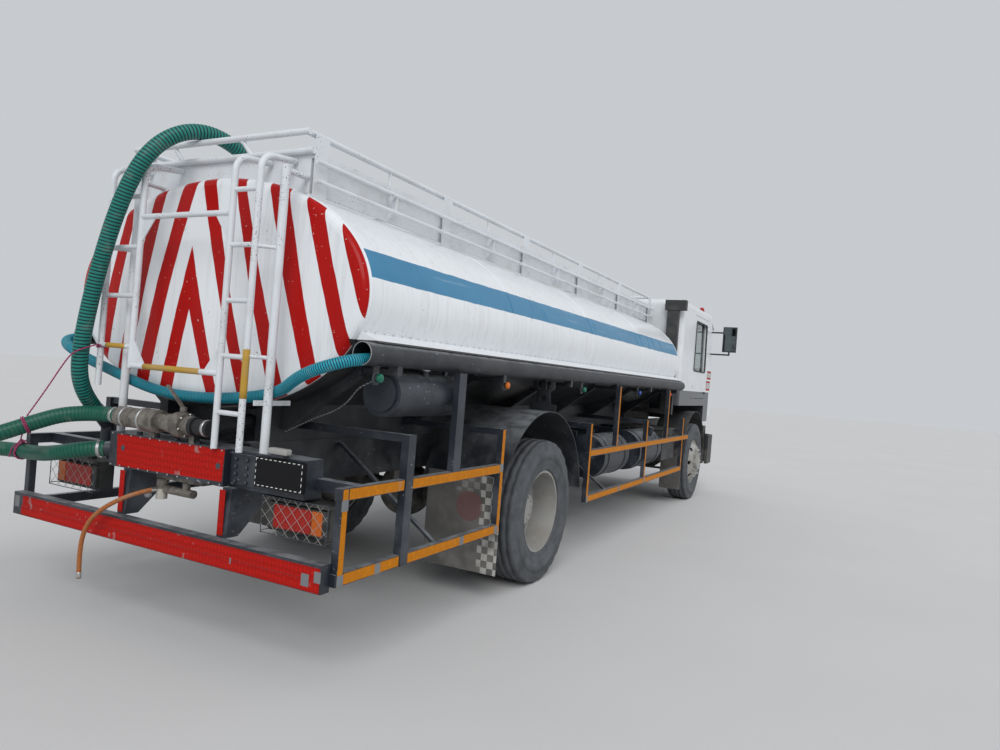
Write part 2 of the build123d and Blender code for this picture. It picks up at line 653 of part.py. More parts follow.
with BuildPart() as front_axle:
    with BuildSketch(Plane(origin=(front_axle_x - 40, 0, 0), x_dir=(0, 1, 0), z_dir=(1, 0, 0))):
        with BuildLine():
            Polyline((-kingpin_y, eye_z + 40), (-kingpin_y, eye_z - 40), (-760, eye_z - 40), (-600, beam_z - 60),
                     (600, beam_z - 60), (760, eye_z - 40), (kingpin_y, eye_z - 40), (kingpin_y, eye_z + 40),
                     (740, eye_z + 40), (580, beam_z + 40), (-580, beam_z + 40), (-740, eye_z + 40), close=True)
        make_face()
    extrude(amount=80)
    for side in sides:
        with Locations((front_axle_x, side * kingpin_y, eye_z)):
            Cylinder(48, 80)
        with Locations((front_axle_x, side * kingpin_y, eye_z)):
            Cylinder(kingpin_radius + running_gap, 400, mode=Mode.SUBTRACT)
        leaf_spring(front_axle_x, side, beam_z + 64, rail_low_z - 0.3)
finish(front_axle, "front_axle")

# Rear axle: banjo housing with its leaf springs and the drive shaft
hub_face_y = 560
shaft_front_x = 1560
shaft_front_z = 760
twin_middle_y = rear_tyre_outer_y - tyre_width / 2 - twin_spacing / 2
with BuildPart() as rear_axle:
    rod((rear_axle_x, -hub_face_y, wheel_z), (rear_axle_x, hub_face_y, wheel_z), 72)
    rod((rear_axle_x, -twin_middle_y - 120, wheel_z), (rear_axle_x, twin_middle_y + 120, wheel_z), stub_radius)
    with Locations((rear_axle_x, 0, wheel_z)):
        Sphere(215)
    rod((rear_axle_x, 0, wheel_z + 20), (rear_axle_x + 330, 0, wheel_z + 40), 90)
    rod((rear_axle_x + 320, 0, wheel_z + 40), (shaft_front_x - 40, 0, shaft_front_z), 45)
    rod((shaft_front_x - 75, 0, shaft_front_z), (shaft_front_x, 0, shaft_front_z), 58)
    for side in sides:
        leaf_spring(rear_axle_x, side, wheel_z + 96, rail_low_z - 0.3)
finish(rear_axle, "rear_axle")

# Engine and gearbox, one plain block each, joined
with BuildPart() as engine_block:
    block((2750, 3900), (-300, 300), (700, 1450))
    block((1980, 2750), (-200, 200), (660, 1000))
    rod((shaft_front_x + seat_gap, 0, shaft_front_z), (1980, 0, shaft_front_z), 60)
    for side in sides:
        block((3500, 3600), (side * 300, side * (rail_half_width - rail_wall - 0.5)), (900, 960))
finish(engine_block, "engine_block")

# Front bumper with its brackets
bumper_top_z = 860
bumper_low_z = 430
with BuildPart() as front_bumper:
    with BuildSketch(Plane.XY.offset(bumper_low_z)):
        with BuildLine():
            Polyline((front_x - 120, -1190), (front_x, -1080), (front_x, 1080), (front_x - 120, 1190),
                     (front_x - 420, 1190), (front_x - 420, 1150), (front_x - 150, 1150), (front_x - 90, 1060),
                     (front_x - 90, -1060), (front_x - 150, -1150), (front_x - 420, -1150), (front_x - 420, -1190),
                     close=True)
        make_face()
    extrude(amount=bumper_top_z - bumper_low_z)
    for side in sides:
        block((front_x - 130, front_x + 20), (side * 660, side * 1010), (540, 700), Mode.SUBTRACT)
        block((rail_front_x + 0.5, front_x - 60), (side * 380, side * 440), (rail_low_z - 150, rail_low_z + 20))
        block((4100, rail_front_x + 40), (side * 380, side * 440), (rail_low_z - 150, rail_low_z - 0.5))
finish(front_bumper, "front_bumper")

with BuildPart() as headlamps:
    for side in sides:
        low, high = sorted((side * 660.3, side * 1009.7))
        block((front_x - 100, front_x - 12), (low, high), (540.3, 699.7))
        with Locations((front_x - 14, side * 760, 620)):
            Cylinder(62, 14, rotation=(0, 90, 0))
        with Locations((front_x - 14, side * 910, 620)):
            Cylinder(62, 14, rotation=(0, 90, 0))
finish(headlamps, "headlamps")

# Front mudguards with the steps ahead of the wheels
with BuildPart() as front_mudguards:
    for side in sides:
        low, high = sorted((side * 760, side * 1170))
        half_arch(front_axle_x, wheel_z, mudguard_radius, mudguard_wall, low, high, 12, 178)
        low, high = sorted((side * 800, side * 1140))
        block((arch_front_x - 40, 4070), (low, high), (440, 1000))
        for z in (470, 740):
            block((arch_front_x, 4055), (side * 900, side * 1160), (z, z + 190), Mode.SUBTRACT)
        block((arch_front_x, 4060), (side * (rail_half_width + 0.5), side * 810), (860, 920))
        block((front_axle_x - 560, front_axle_x - 520), (side * (rail_half_width + 0.5), side * 780),
              (960, 1000))
finish(front_mudguards, "front_mudguards")

# Intake snorkel behind the cab's right corner
with BuildPart() as intake_snorkel:
    block((2225, 2320), (-1140, -870), (2530, 2660))
    block((2240, 2310), (-1050, -900), (1180, 2530))
    block((2240, 2310), (-900, -rail_half_width + 50), (1180, 1240))
    block((2240, 2310), (-rail_half_width, -rail_half_width + 50), (rail_top_z + seat_gap, 1180))
finish(intake_snorkel, "intake_snorkel")


def cab_outline(inset):
    """The cab's side view, drawn in X and Z, moved inwards all round."""
    foot_x, foot_z = windscreen_foot
    head_x, head_z = windscreen_head
    slope = (head_x - foot_x) / (head_z - foot_z)
    lean = sqrt(1 + slope * slope)
    roof = cab_roof_z - inset
    front_low = cab_nose_z + inset
    return (
        (cab_rear_x + inset, cab_floor_z + inset),
        (cab_rear_x + inset, roof),
        (foot_x + slope * (roof - foot_z) - inset * lean, roof),
        (foot_x - inset, foot_z),
        (cab_front_x - inset, front_low),
        (arch_front_x + inset, front_low),
        (arch_front_x + inset, cab_floor_z + inset),
    )


def cab_solid(inset, side_inset, mode=Mode.ADD):
    """The cab's outer or inner body as one solid."""
    half = cab_half_width - side_inset
    side_plate(cab_outline(inset), -half, half, mode)


window_low_z = 1790
screen_half = cab_half_width - 140
window_high_z = 2480
window_outline = ((3120, window_low_z), (3120, window_high_z), (3820, window_high_z), (3875, window_low_z))


def door_solid(gap):
    """The block that bounds a door on both sides of the cab."""
    return ((door_rear_x + gap, door_front_x - gap), (door_low_z + gap, door_high_z - gap))


# Cab shell: hollow, with its doors' openings, windscreen, rear window and grille cut out
with BuildPart() as cab_body:
    cab_solid(0, 0)
    fillet(cab_body.edges().filter_by(Axis.Z).group_by(Axis.X)[0], 90)
    roof_edges = cab_body.faces().sort_by(Axis.Z)[-1].edges().filter_by(Axis.X)
    fillet(roof_edges, 80)
    cab_solid(cab_wall, cab_wall, Mode.SUBTRACT)
cab_hollow = cab_body.part

with BuildPart() as cab_shell:
    add(cab_hollow)
    for side in sides:
        span, rise = door_solid(0)
        block(span, (side * (cab_half_width - 200), side * (cab_half_width + 10)), rise, Mode.SUBTRACT)
    block((4000, 4560), (-screen_half, screen_half), (window_low_z, 2570), Mode.SUBTRACT)
    block((cab_rear_x - 10, cab_rear_x + 80), (-600, 600), (1950, 2450), Mode.SUBTRACT)
    block((4300, 4560), (-900, 900), (1120, 1500), Mode.SUBTRACT)
    block((2700, 4100), (-340, 340), (cab_floor_z - 10, 1530))
    block((2660, 4200), (-310, 310), (cab_floor_z - 20, 1500), Mode.SUBTRACT)
    for side in sides:
        side_plate(((cab_pivot_x - 60, cab_nose_z + 10), (cab_pivot_x - 30, cab_pivot_z - 20),
                    (cab_pivot_x + 30, cab_pivot_z - 20), (cab_pivot_x + 50, cab_nose_z + 10)),
                   min(side * 405, side * 440), max(side * 405, side * 440))
        rod((cab_pivot_x, side * 395, cab_pivot_z), (cab_pivot_x, side * 465, cab_pivot_z), 20 + running_gap, Mode.SUBTRACT)
    for side in sides:
        y = side * door_hinge_y
        for z in door_hinge_zs:
            rod((door_hinge_x, y, z - 44), (door_hinge_x, y, z + 44), door_pin_radius)
            for low, high in ((z - 44, z - 26), (z + 26, z + 44)):
                rod((door_hinge_x, y, low), (door_hinge_x, y, high), door_barrel_radius)
                block((door_hinge_x, door_hinge_x + 55), (side * (cab_half_width - 1), side * (cab_half_width + 8)),
                      (low, high))
finish(cab_shell, "cab_shell")

# Doors, cut from the same body, each with its window opening
for side in sides:
    with BuildPart() as door:
        span, rise = door_solid(door_gap)
        block(span, (side * (cab_half_width - cab_wall - 5), side * cab_half_width), rise)
        low, high = sorted((side * (cab_half_width - 100), side * (cab_half_width + 20)))
        side_plate(window_outline, low, high, Mode.SUBTRACT)
        block((3080, 3160), (side * (cab_half_width - 2), side * (cab_half_width + 22)), (1580, 1610))
        y = side * door_hinge_y
        for z in door_hinge_zs:
            rod((door_hinge_x, y, z - 25), (door_hinge_x, y, z + 25), door_barrel_radius)
            block((door_hinge_x - 55, door_hinge_x - 6), (side * (cab_half_width - 1), side * (cab_half_width + 8)),
                  (z - 25, z + 25))
            rod((door_hinge_x, y, z - 30), (door_hinge_x, y, z + 30), door_pin_radius + running_gap, Mode.SUBTRACT)
    finish(door, f"door_{side_names[side]}")
    with BuildPart() as pane:
        low, high = sorted((side * (cab_half_width - 30), side * (cab_half_width - 30 - glass_thickness)))
        side_plate(window_outline, low, high)
    finish(pane, f"door_glass_{side_names[side]}")

# Fixed glass: raked windscreen and flat rear window
slope = (windscreen_head[0] - windscreen_foot[0]) / (windscreen_head[1] - windscreen_foot[1])
with BuildPart() as cab_glass:
    pane_low_x = windscreen_foot[0] + slope * (window_low_z - windscreen_foot[1]) - 15
    pane_high_x = windscreen_foot[0] + slope * (2570 - windscreen_foot[1]) - 15
    side_plate(((pane_low_x, window_low_z), (pane_high_x, 2570), (pane_high_x - glass_thickness, 2570),
                (pane_low_x - glass_thickness, window_low_z)), -screen_half, screen_half)
    block((cab_rear_x + 20, cab_rear_x + 20 + glass_thickness), (-600, 600), (1950, 2450))
finish(cab_glass, "cab_glass")

# Grille: a frame with slats in the nose panel
with BuildPart() as cab_grille:
    block((4390, 4450), (-899.7, 899.7), (1120.3, 1499.7))
    block((4380, 4460), (-865, 865), (1145, 1475), Mode.SUBTRACT)
    for step in range(6):
        z = 1170 + step * 50
        block((4395, 4445), (-870, 870), (z, z + 24))
finish(cab_grille, "cab_grille")

# Seats: two cushions with backrests on boxes
with BuildPart() as seats:
    for side in sides:
        low, high = sorted((side * 380, side * 900))
        block((2820, 3360), (low, high), (1620, 1760))
        block((2720, 2840), (low, high), (1640, 2300))
        block((2850, 3300), (low + 60, high - 60), (cab_floor_z + cab_wall, 1620))
finish(seats, "seats")

# Dashboard with the steering column and wheel
dash_half = cab_half_width - cab_wall - seat_gap
with BuildPart() as dashboard:
    side_plate(((3990, 1640), (3960, 1820), (4060, 1860), (4330, 1760), (4350, 1640)),
               -dash_half, dash_half)
    rod((4060, 560, 1700), (3700, 560, 1900), 28)
    with Locations(Plane(origin=(3690, 560, 1905), z_dir=(-0.874, 0, 0.486)).location):
        Torus(215, 16)
        Box(400, 40, 18)
        Cylinder(50, 40)
finish(dashboard, "dashboard")

# Mirrors on arms at the windscreen's corners
with BuildPart() as mirrors:
    for side in sides:
        y = side * (cab_half_width + 270)
        block((4190, 4230), (y - 100, y + 100), (2130, 2510))
        rod((4220, side * cab_half_width, 2090), (4220, y + side * 8, 2090), 12)
        rod((4220, y, 2085), (4212, y, 2140), 12)
        rod((4200, side * cab_half_width, 2420), (4200, side * (cab_half_width + 190), 2420), 12)
finish(mirrors, "mirrors")

# Sun visor over the windscreen
with BuildPart() as sun_visor:
    side_plate(((4174.7, 2600), (4420, 2470), (4428, 2484), (4169.4, 2620)),
               -(cab_half_width - 10), cab_half_width - 10)
finish(sun_visor, "sun_visor")


tyre_section = (
    # share of the half width, radius
    (0.78, rim_radius + 4), (0.98, rim_radius + 78), (1.0, rim_radius + 120), (0.90, tyre_radius - 38),
    (0.84, tyre_radius - 16), (0.68, tyre_radius - 3), (0.34, tyre_radius),
)


def tyre_profile(centre_y):
    """Half section of a tyre in Y and radius: crowned tread, shoulders and bulged walls."""
    half = tyre_width / 2
    left = [(centre_y - half * share, radius) for share, radius in tyre_section]
    right = [(centre_y + half * share, radius) for share, radius in reversed(tyre_section)]
    with BuildLine() as outline:
        Polyline(*left, *right, close=True)
    make_face(outline.edges())


disc_offset = 154
hand_hole_count = 8
hand_hole_radius = 27
hand_hole_circle = 246


def rim_profile(centre_y, out):
    """Half section of a steel rim and its dished disc, in Y and radius."""
    half = tyre_width / 2 * 0.78
    r = rim_radius
    face = centre_y + out * disc_offset
    with BuildLine() as band:
        Polyline((centre_y - half, r + 3.5), (centre_y + half, r + 3.5), (centre_y + half, r - 14),
                 (centre_y - half, r - 14), close=True)
    make_face(band.edges())
    with BuildLine() as plate:
        Polyline((face - out * 5, 100), (face - out * 5, 205), (centre_y + out * 84, r - 10),
                 (centre_y + out * 98, r - 10), (face + out * 5, 212), (face + out * 5, 100), close=True)
    make_face(plate.edges())


def wheel_axis_plane(x):
    """The half plane through a wheel's axle, with Y across and the radius upwards."""
    return Plane(origin=(x, 0, wheel_z), x_dir=(0, 1, 0), z_dir=(1, 0, 0))


def wheel_spin(x):
    """The axis on which a wheel turns."""
    return Axis((x, 0, wheel_z), (0, 1, 0))


def cut_hand_holes(x, y_from, y_to):
    """The ring of round holes through a wheel's disc."""
    for step in range(hand_hole_count):
        turn = 2 * pi * step / hand_hole_count
        place = (x + hand_hole_circle * cos(turn), wheel_z + hand_hole_circle * sin(turn))
        rod((place[0], y_from, place[1]), (place[0], y_to, place[1]), hand_hole_radius, Mode.SUBTRACT)


rear_centres = (rear_tyre_outer_y - tyre_width / 2, rear_tyre_outer_y - tyre_width / 2 - twin_spacing)
front_centre = front_tyre_outer_y - tyre_width / 2
for side in sides:
    name = side_names[side]
    with BuildPart() as tyre:
        for y in rear_centres:
            with BuildSketch(wheel_axis_plane(rear_axle_x)):
                tyre_profile(side * y)
            revolve(axis=wheel_spin(rear_axle_x))
    finish(tyre, f"rear_tyres_{name}")
    with BuildPart() as tyre:
        with BuildSketch(wheel_axis_plane(front_axle_x)):
            tyre_profile(side * front_centre)
        revolve(axis=wheel_spin(front_axle_x))
    finish(tyre, f"front_tyre_{name}")
    with BuildPart() as rim:
        for centre, out in ((rear_centres[0], -1), (rear_centres[1], 1)):
            with BuildSketch(wheel_axis_plane(rear_axle_x)):
                rim_profile(side * centre, side * out)
            revolve(axis=wheel_spin(rear_axle_x))
        rod((rear_axle_x, side * (twin_middle_y - 210), wheel_z), (rear_axle_x, side * (twin_middle_y + 150), wheel_z), 108)
        rod((rear_axle_x, side * (twin_middle_y - 330), wheel_z), (rear_axle_x, side * (twin_middle_y - 110), wheel_z), 205)
        rod((rear_axle_x, side * (twin_middle_y - 500), wheel_z), (rear_axle_x, side * (twin_middle_y + 135), wheel_z),
            hub_bore_radius, Mode.SUBTRACT)
        cut_hand_holes(rear_axle_x, side * (twin_middle_y - 100), side * (twin_middle_y + 120))
    finish(rim, f"rear_rims_{name}")
    with BuildPart() as rim:
        face = front_centre + disc_offset
        with BuildSketch(wheel_axis_plane(front_axle_x)):
            rim_profile(side * front_centre, side)
        revolve(axis=wheel_spin(front_axle_x))
        rod((front_axle_x, side * (face - 150), wheel_z), (front_axle_x, side * (face + 45), wheel_z), 106)
        rod((front_axle_x, side * (face - 160), wheel_z), (front_axle_x, side * (face + 30), wheel_z),
            hub_bore_radius, Mode.SUBTRACT)
        cut_hand_holes(front_axle_x, side * (face - 80), side * (face + 20))
    finish(rim, f"front_rim_{name}")

# Steering knuckles: a fork on the kingpin, a stub axle and a rearward steering arm
arm_x_end = front_axle_x - steer_arm_length
arm_y = kingpin_y
for side in sides:
    with BuildPart() as knuckle:
        y = side * kingpin_y
        for z_low, z_high in ((eye_z - 92, eye_z - 42), (eye_z + 42, eye_z + 92)):
            with Locations((front_axle_x, y, (z_low + z_high) / 2)):
                Cylinder(50, z_high - z_low)
            block((front_axle_x - 45, front_axle_x + 45), (y, y + side * 80), (z_low, z_high))
        block((front_axle_x - 45, front_axle_x + 45), (y + side * 52, y + side * 85), (eye_z - 92, eye_z + 92))
        with Locations((front_axle_x, y, eye_z)):
            Cylinder(kingpin_radius, 184)
        rod((front_axle_x, y + side * 80, wheel_z), (front_axle_x, side * (front_centre + disc_offset + 20), wheel_z), stub_radius)
        block((arm_x_end - 20, front_axle_x), (y - 22, y + 22), (eye_z - 92, eye_z - 62))
        rod((arm_x_end, side * arm_y, eye_z - 92), (arm_x_end, side * arm_y, eye_z - 150), 11.95)
    finish(knuckle, f"knuckle_{side_names[side]}")

# Tie rod between the two steering arms
with BuildPart() as tie_rod:
    z = eye_z - 125
    rod((arm_x_end, -arm_y + 20, z), (arm_x_end, arm_y - 20, z), tie_rod_radius)
    for side, bore in ((1, 12), (-1, 12.5)):
        with Locations((arm_x_end, side * arm_y, z)):
            Cylinder(30, 44)
        with Locations((arm_x_end, side * arm_y, z)):
            Cylinder(bore, 60, mode=Mode.SUBTRACT)
finish(tie_rod, "tie_rod")

# Hose routes, chosen by hand
hose_routes = {
    "hose_return": (thin_hose, (
        (-4180, -1150, 1533), (-4290, -1150, 1533), (-4385, -1097, 1523), (-4441, -1004, 1502),
        (-4444, -895, 1468), (-4392, -800, 1430), (-4320, -718, 1392), (-4294, -614, 1352),
        (-4291, -490, 1316), (-4291, -345, 1288), (-4293, -185, 1269), (-4293, -15, 1262),
        (-4292, 155, 1267), (-4291, 315, 1284), (-4292, 462, 1310), (-4302, 590, 1342), (-4328, 700, 1376),
        (-4361, 800, 1410), (-4380, 904, 1446), (-4370, 1010, 1483), (-4311, 1100, 1513),
        (-4212, 1150, 1533), (-4105, 1150, 1533))),
    "hose_suction": (thick_hose, (
        (-3560, 60, 2560), (-3700, 70, 2580), (-3850, 82, 2640), (-4010, 96, 2712), (-4170, 112, 2746),
        (-4310, 150, 2722), (-4420, 205, 2640), (-4490, 262, 2520), (-4520, 330, 2370), (-4532, 400, 2200),
        (-4534, 470, 2010), (-4534, 530, 1820), (-4534, 575, 1640), (-4532, 605, 1480), (-4516, 634, 1345),
        (-4470, 662, 1245), (-4405, 684, 1165), (-4335, 696, 1093))),
    "hose_delivery": (thick_hose, (
        (-4425, 370, 1112), (-4425, 490, 1112), (-4468, 606, 1108), (-4548, 704, 1098), (-4650, 780, 1082),
        (-4760, 838, 1062), (-4868, 906, 1040), (-4966, 988, 1018), (-5040, 1094, 996), (-5066, 1222, 976),
        (-5034, 1350, 956), (-4950, 1450, 938), (-4830, 1502, 922), (-4700, 1498, 906), (-4588, 1432, 894),
        (-4514, 1326, 888), (-4484, 1200, 885), (-4484, 1082, 885), (-4502, 976, 888), (-4521, 876, 891),
        (-4521, 776, 895), (-4501, 679, 900), (-4462.8, 587.2, 905.9), (-4405.2, 505.3, 915))),
    "hose_drain": (drain_hose, (
        (-4415, 85, 740), (-4465, 105, 730), (-4515, 165, 698), (-4545, 245, 650), (-4562, 325, 590),
        (-4570, 380, 520), (-4570, 408, 440), (-4570, 415, 360), (-4570, 412, 290), (-4570, 407, 232))),
}


def corner_radii(points):
    """Each arc's radius, from the shorter run beside its corner and the turn there."""
    radii = []
    for before, corner, after in zip(points, points[1:], points[2:]):
        run_in = Vector(*corner) - Vector(*before)
        run_out = Vector(*after) - Vector(*corner)
        half_turn = radians(run_in.get_angle(run_out)) / 2
        radii.append(0.45 * min(run_in.length, run_out.length) / tan(half_turn))
    return radii


for label, (diameter, route) in hose_routes.items():
    radii = corner_radii(route)
    with BuildPart() as hose:
        bent_pipe(route, radii, diameter / 2)
    finish(hose, label)
    section_area = pi * diameter ** 2 / 4
    print(label, "smallest radii", sorted(round(r) for r in radii)[:4], "length from volume",
          round(hose.part.volume / section_area))
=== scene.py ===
from math import cos, pi, radians, sin

import bmesh
import bpy
import numpy as np
from mathutils import Matrix, Vector


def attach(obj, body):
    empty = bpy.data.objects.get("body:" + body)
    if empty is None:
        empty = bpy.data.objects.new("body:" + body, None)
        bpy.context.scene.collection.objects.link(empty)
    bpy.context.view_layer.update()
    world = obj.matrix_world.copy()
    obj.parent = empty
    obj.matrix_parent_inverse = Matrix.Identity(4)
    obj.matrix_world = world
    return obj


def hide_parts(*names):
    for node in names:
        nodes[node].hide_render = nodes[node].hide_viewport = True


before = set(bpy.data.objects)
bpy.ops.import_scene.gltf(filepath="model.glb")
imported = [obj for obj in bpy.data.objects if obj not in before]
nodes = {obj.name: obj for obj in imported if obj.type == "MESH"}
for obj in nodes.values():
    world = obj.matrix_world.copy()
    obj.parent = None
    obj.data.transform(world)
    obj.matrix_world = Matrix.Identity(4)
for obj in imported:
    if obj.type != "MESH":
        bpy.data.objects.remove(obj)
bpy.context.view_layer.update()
scene = bpy.context.scene
scene.view_settings.view_transform = "Standard"

# Camera: it stands low behind the truck's right rear corner, where the photograph was taken. Its place,
# angles and focal length come from calibrating the photograph on the wheels and the frame's edges.
camera_place = (-7.0203, -3.3089, 1.4914)
camera_yaw, camera_pitch, camera_roll = 0.475999, 0.00269, 0.077957
camera_focal_mm = 25.8855
ahead = Vector((cos(camera_yaw) * cos(camera_pitch), sin(camera_yaw) * cos(camera_pitch), sin(camera_pitch)))
level_right = Vector((sin(camera_yaw), -cos(camera_yaw), 0))
level_up = level_right.cross(ahead)
right = cos(camera_roll) * level_right + sin(camera_roll) * level_up
up = cos(camera_roll) * level_up - sin(camera_roll) * level_right
lens = bpy.data.cameras.new("camera")
lens.sensor_width = 36
lens.lens = camera_focal_mm
camera = bpy.data.objects.new("camera", lens)
camera.matrix_world = Matrix.Translation(camera_place) @ Matrix((right, up, -ahead)).transposed().to_4x4()
scene.collection.objects.link(camera)
scene.camera = camera


# Floor and light: a plain pale ground under an even sky, with one broad soft sun from behind the truck's
# right side and a weaker one from ahead of it.
class Finish:
    """A node material: its shader, and one short call for each kind of node that the truck's finishes use."""

    def __init__(self, name, roughness=0.5, metallic=0.0, **sockets):
        self.material = bpy.data.materials.new(name)
        self.material.use_nodes = True
        self.tree = self.material.node_tree
        self.shader = self.tree.nodes["Principled BSDF"]
        self.shader.inputs["Roughness"].default_value = roughness
        self.shader.inputs["Metallic"].default_value = metallic
        for label, value in sockets.items():
            self.shader.inputs[label.replace("_", " ")].default_value = value
        self.place = self.node("ShaderNodeTexCoord").outputs["Object"]

    def node(self, kind, inputs=None, **settings):
        made = self.tree.nodes.new(kind)
        for key, value in settings.items():
            setattr(made, key, value)
        for key, value in (inputs or {}).items():
            if isinstance(value, bpy.types.NodeSocket):
                self.tree.links.new(value, made.inputs[key])
            else:
                made.inputs[key].default_value = value
        return made

    def math(self, operation, a, b=0.0, c=0.0):
        return self.node("ShaderNodeMath", {0: a, 1: b, 2: c}, operation=operation).outputs[0]

    def times(self, first, *others):
        """The product of two or more values; of masks, where all of them hold."""
        for other in others:
            first = self.math("MULTIPLY", first, other)
        return first

    def dot(self, vector, place=None):
        """The dot product of the place with a fixed vector."""
        return self.node("ShaderNodeVectorMath", {0: place or self.place, 1: vector},
                         operation="DOT_PRODUCT").outputs["Value"]

    def axes(self):
        """X, Y and Z of the place, one by one."""
        return [self.dot(axis) for axis in ((1, 0, 0), (0, 1, 0), (0, 0, 1))]

    def stretch(self, factors):
        """The place, scaled along each axis."""
        return self.node("ShaderNodeVectorMath", {0: self.place, 1: factors}, operation="MULTIPLY").outputs[0]

    def noise(self, scale, detail=3.0, place=None, roughness=0.55):
        inputs = {"Vector": place or self.place, "Scale": scale, "Detail": detail, "Roughness": roughness}
        return self.node("ShaderNodeTexNoise", inputs).outputs["Fac"]

    def ramp(self, value, low, high, to_low=0.0, to_high=1.0):
        """Zero below low, one above high, smooth between."""
        return self.node("ShaderNodeMapRange", {"Value": value, "From Min": low, "From Max": high,
                                                "To Min": to_low, "To Max": to_high},
                         interpolation_type="SMOOTHSTEP").outputs["Result"]

    def mix(self, share, a, b):
        a, b = [(*c, 1) if isinstance(c, tuple) and len(c) == 3 else c for c in (a, b)]
        made = self.node("ShaderNodeMix", {0: share, 6: a, 7: b}, data_type="RGBA")
        return made.outputs[2]

    def bump(self, height, strength, distance, after=None):
        inputs = {"Height": height, "Strength": strength, "Distance": distance}
        if after:
            inputs["Normal"] = after
        return self.node("ShaderNodeBump", inputs).outputs["Normal"]

    def done(self, colour=None, roughness=None, normal=None):
        for socket, value in (("Base Color", colour), ("Roughness", roughness), ("Normal", normal)):
            if isinstance(value, bpy.types.NodeSocket):
                self.tree.links.new(value, self.shader.inputs[socket])
            elif value is not None:
                self.shader.inputs[socket].default_value = (*value, 1)
        return self.material


def piece(name, vertices, faces, material, smooth=False):
    """A mesh object from an array of points and its faces, as an array or a list of corners."""
    mesh = bpy.data.meshes.new(name)
    corners = faces.tolist() if hasattr(faces, "tolist") else faces
    mesh.from_pydata(np.asarray(vertices).reshape(-1, 3).tolist(), [], corners)
    mesh.polygons.foreach_set("use_smooth", np.full(len(mesh.polygons), smooth))
    mesh.materials.append(material)
    made = bpy.data.objects.new(name, mesh)
    scene.collection.objects.link(made)
    return made


def fixed(made, body="chassis"):
    """Fixes a piece to the body that it moves with."""
    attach(made, body)
    return made


ground = Finish("pale_ground", 0.9)
ground_half = 70
ground_corners = [(x * ground_half, y * ground_half, 0) for x, y in ((-1, -1), (1, -1), (1, 1), (-1, 1))]
floor = piece("floor", ground_corners, [(0, 1, 2, 3)],
              ground.done(ground.mix(ground.noise(0.6), (0.55, 0.55, 0.55), (0.61, 0.605, 0.6))))
world = bpy.data.worlds.new("even_sky")
world.use_nodes = True
world.node_tree.nodes["Background"].inputs["Color"].default_value = (0.93, 0.96, 1.0, 1)
world.node_tree.nodes["Background"].inputs["Strength"].default_value = 0.62
scene.world = world
for name, strength, spread, turn in (("key_sun", 1.5, 35, (50, 0, -62)), ("fill_sun", 0.45, 80, (62, 0, 30))):
    sun = bpy.data.lights.new(name, "SUN")
    sun.energy = strength
    sun.angle = radians(spread)
    lamp = bpy.data.objects.new(name, sun)
    lamp.rotation_euler = [radians(a) for a in turn]
    scene.collection.objects.link(lamp)


# Hoses: flexible plastic hoses with a helical rib, pushed on their tubes and couplings and held by clamps.
# Each follows one smooth curve with the route's points as its control points, in metres.
hose_routes = {
    "hose_return": (0.06, (
        (-4.18, -1.15, 1.53), (-4.29, -1.146, 1.524), (-4.378, -1.09, 1.498), (-4.415, -1.0, 1.462),
        (-4.408, -0.9, 1.424), (-4.372, -0.806, 1.385), (-4.322, -0.718, 1.35), (-4.296, -0.614, 1.318),
        (-4.291, -0.49, 1.292), (-4.291, -0.345, 1.272), (-4.293, -0.185, 1.258), (-4.293, -0.015, 1.252),
        (-4.292, 0.155, 1.256), (-4.291, 0.315, 1.274), (-4.292, 0.462, 1.302), (-4.302, 0.59, 1.336),
        (-4.326, 0.7, 1.372), (-4.356, 0.8, 1.408), (-4.374, 0.902, 1.446), (-4.366, 1.006, 1.483),
        (-4.311, 1.1, 1.513), (-4.212, 1.15, 1.533), (-4.105, 1.15, 1.533))),
    "hose_suction": (0.088, (
        (-3.56, 0.06, 2.56), (-3.7, 0.07, 2.58), (-3.85, 0.082, 2.64), (-4.01, 0.096, 2.712),
        (-4.17, 0.112, 2.746), (-4.31, 0.15, 2.722), (-4.42, 0.205, 2.64), (-4.49, 0.262, 2.52),
        (-4.52, 0.33, 2.37), (-4.532, 0.4, 2.2), (-4.534, 0.47, 2.01), (-4.534, 0.53, 1.82),
        (-4.534, 0.575, 1.64), (-4.532, 0.605, 1.48), (-4.516, 0.634, 1.345), (-4.47, 0.662, 1.245),
        (-4.405, 0.684, 1.165), (-4.335, 0.696, 1.093))),
    "hose_delivery": (0.088, (
        (-4.425, 0.37, 1.112), (-4.425, 0.49, 1.112), (-4.468, 0.606, 1.106), (-4.548, 0.704, 1.09),
        (-4.65, 0.78, 1.042), (-4.76, 0.838, 0.988), (-4.868, 0.906, 0.942), (-4.966, 0.988, 0.906),
        (-5.04, 1.094, 0.884), (-5.066, 1.222, 0.876), (-5.034, 1.35, 0.856), (-4.95, 1.45, 0.843),
        (-4.83, 1.502, 0.837), (-4.7, 1.498, 0.831), (-4.588, 1.432, 0.826), (-4.514, 1.326, 0.826),
        (-4.484, 1.2, 0.827), (-4.484, 1.082, 0.83), (-4.502, 0.976, 0.838), (-4.521, 0.876, 0.849),
        (-4.521, 0.776, 0.865), (-4.501, 0.679, 0.885), (-4.4628, 0.5872, 0.9059), (-4.4052, 0.5053, 0.915))),
    "hose_drain": (0.024, (
        (-4.415, 0.085, 0.74), (-4.465, 0.105, 0.73), (-4.515, 0.165, 0.698), (-4.545, 0.245, 0.65),
        (-4.562, 0.325, 0.59), (-4.57, 0.38, 0.52), (-4.57, 0.408, 0.44), (-4.57, 0.415, 0.36),
        (-4.57, 0.412, 0.29), (-4.57, 0.407, 0.232))),
}


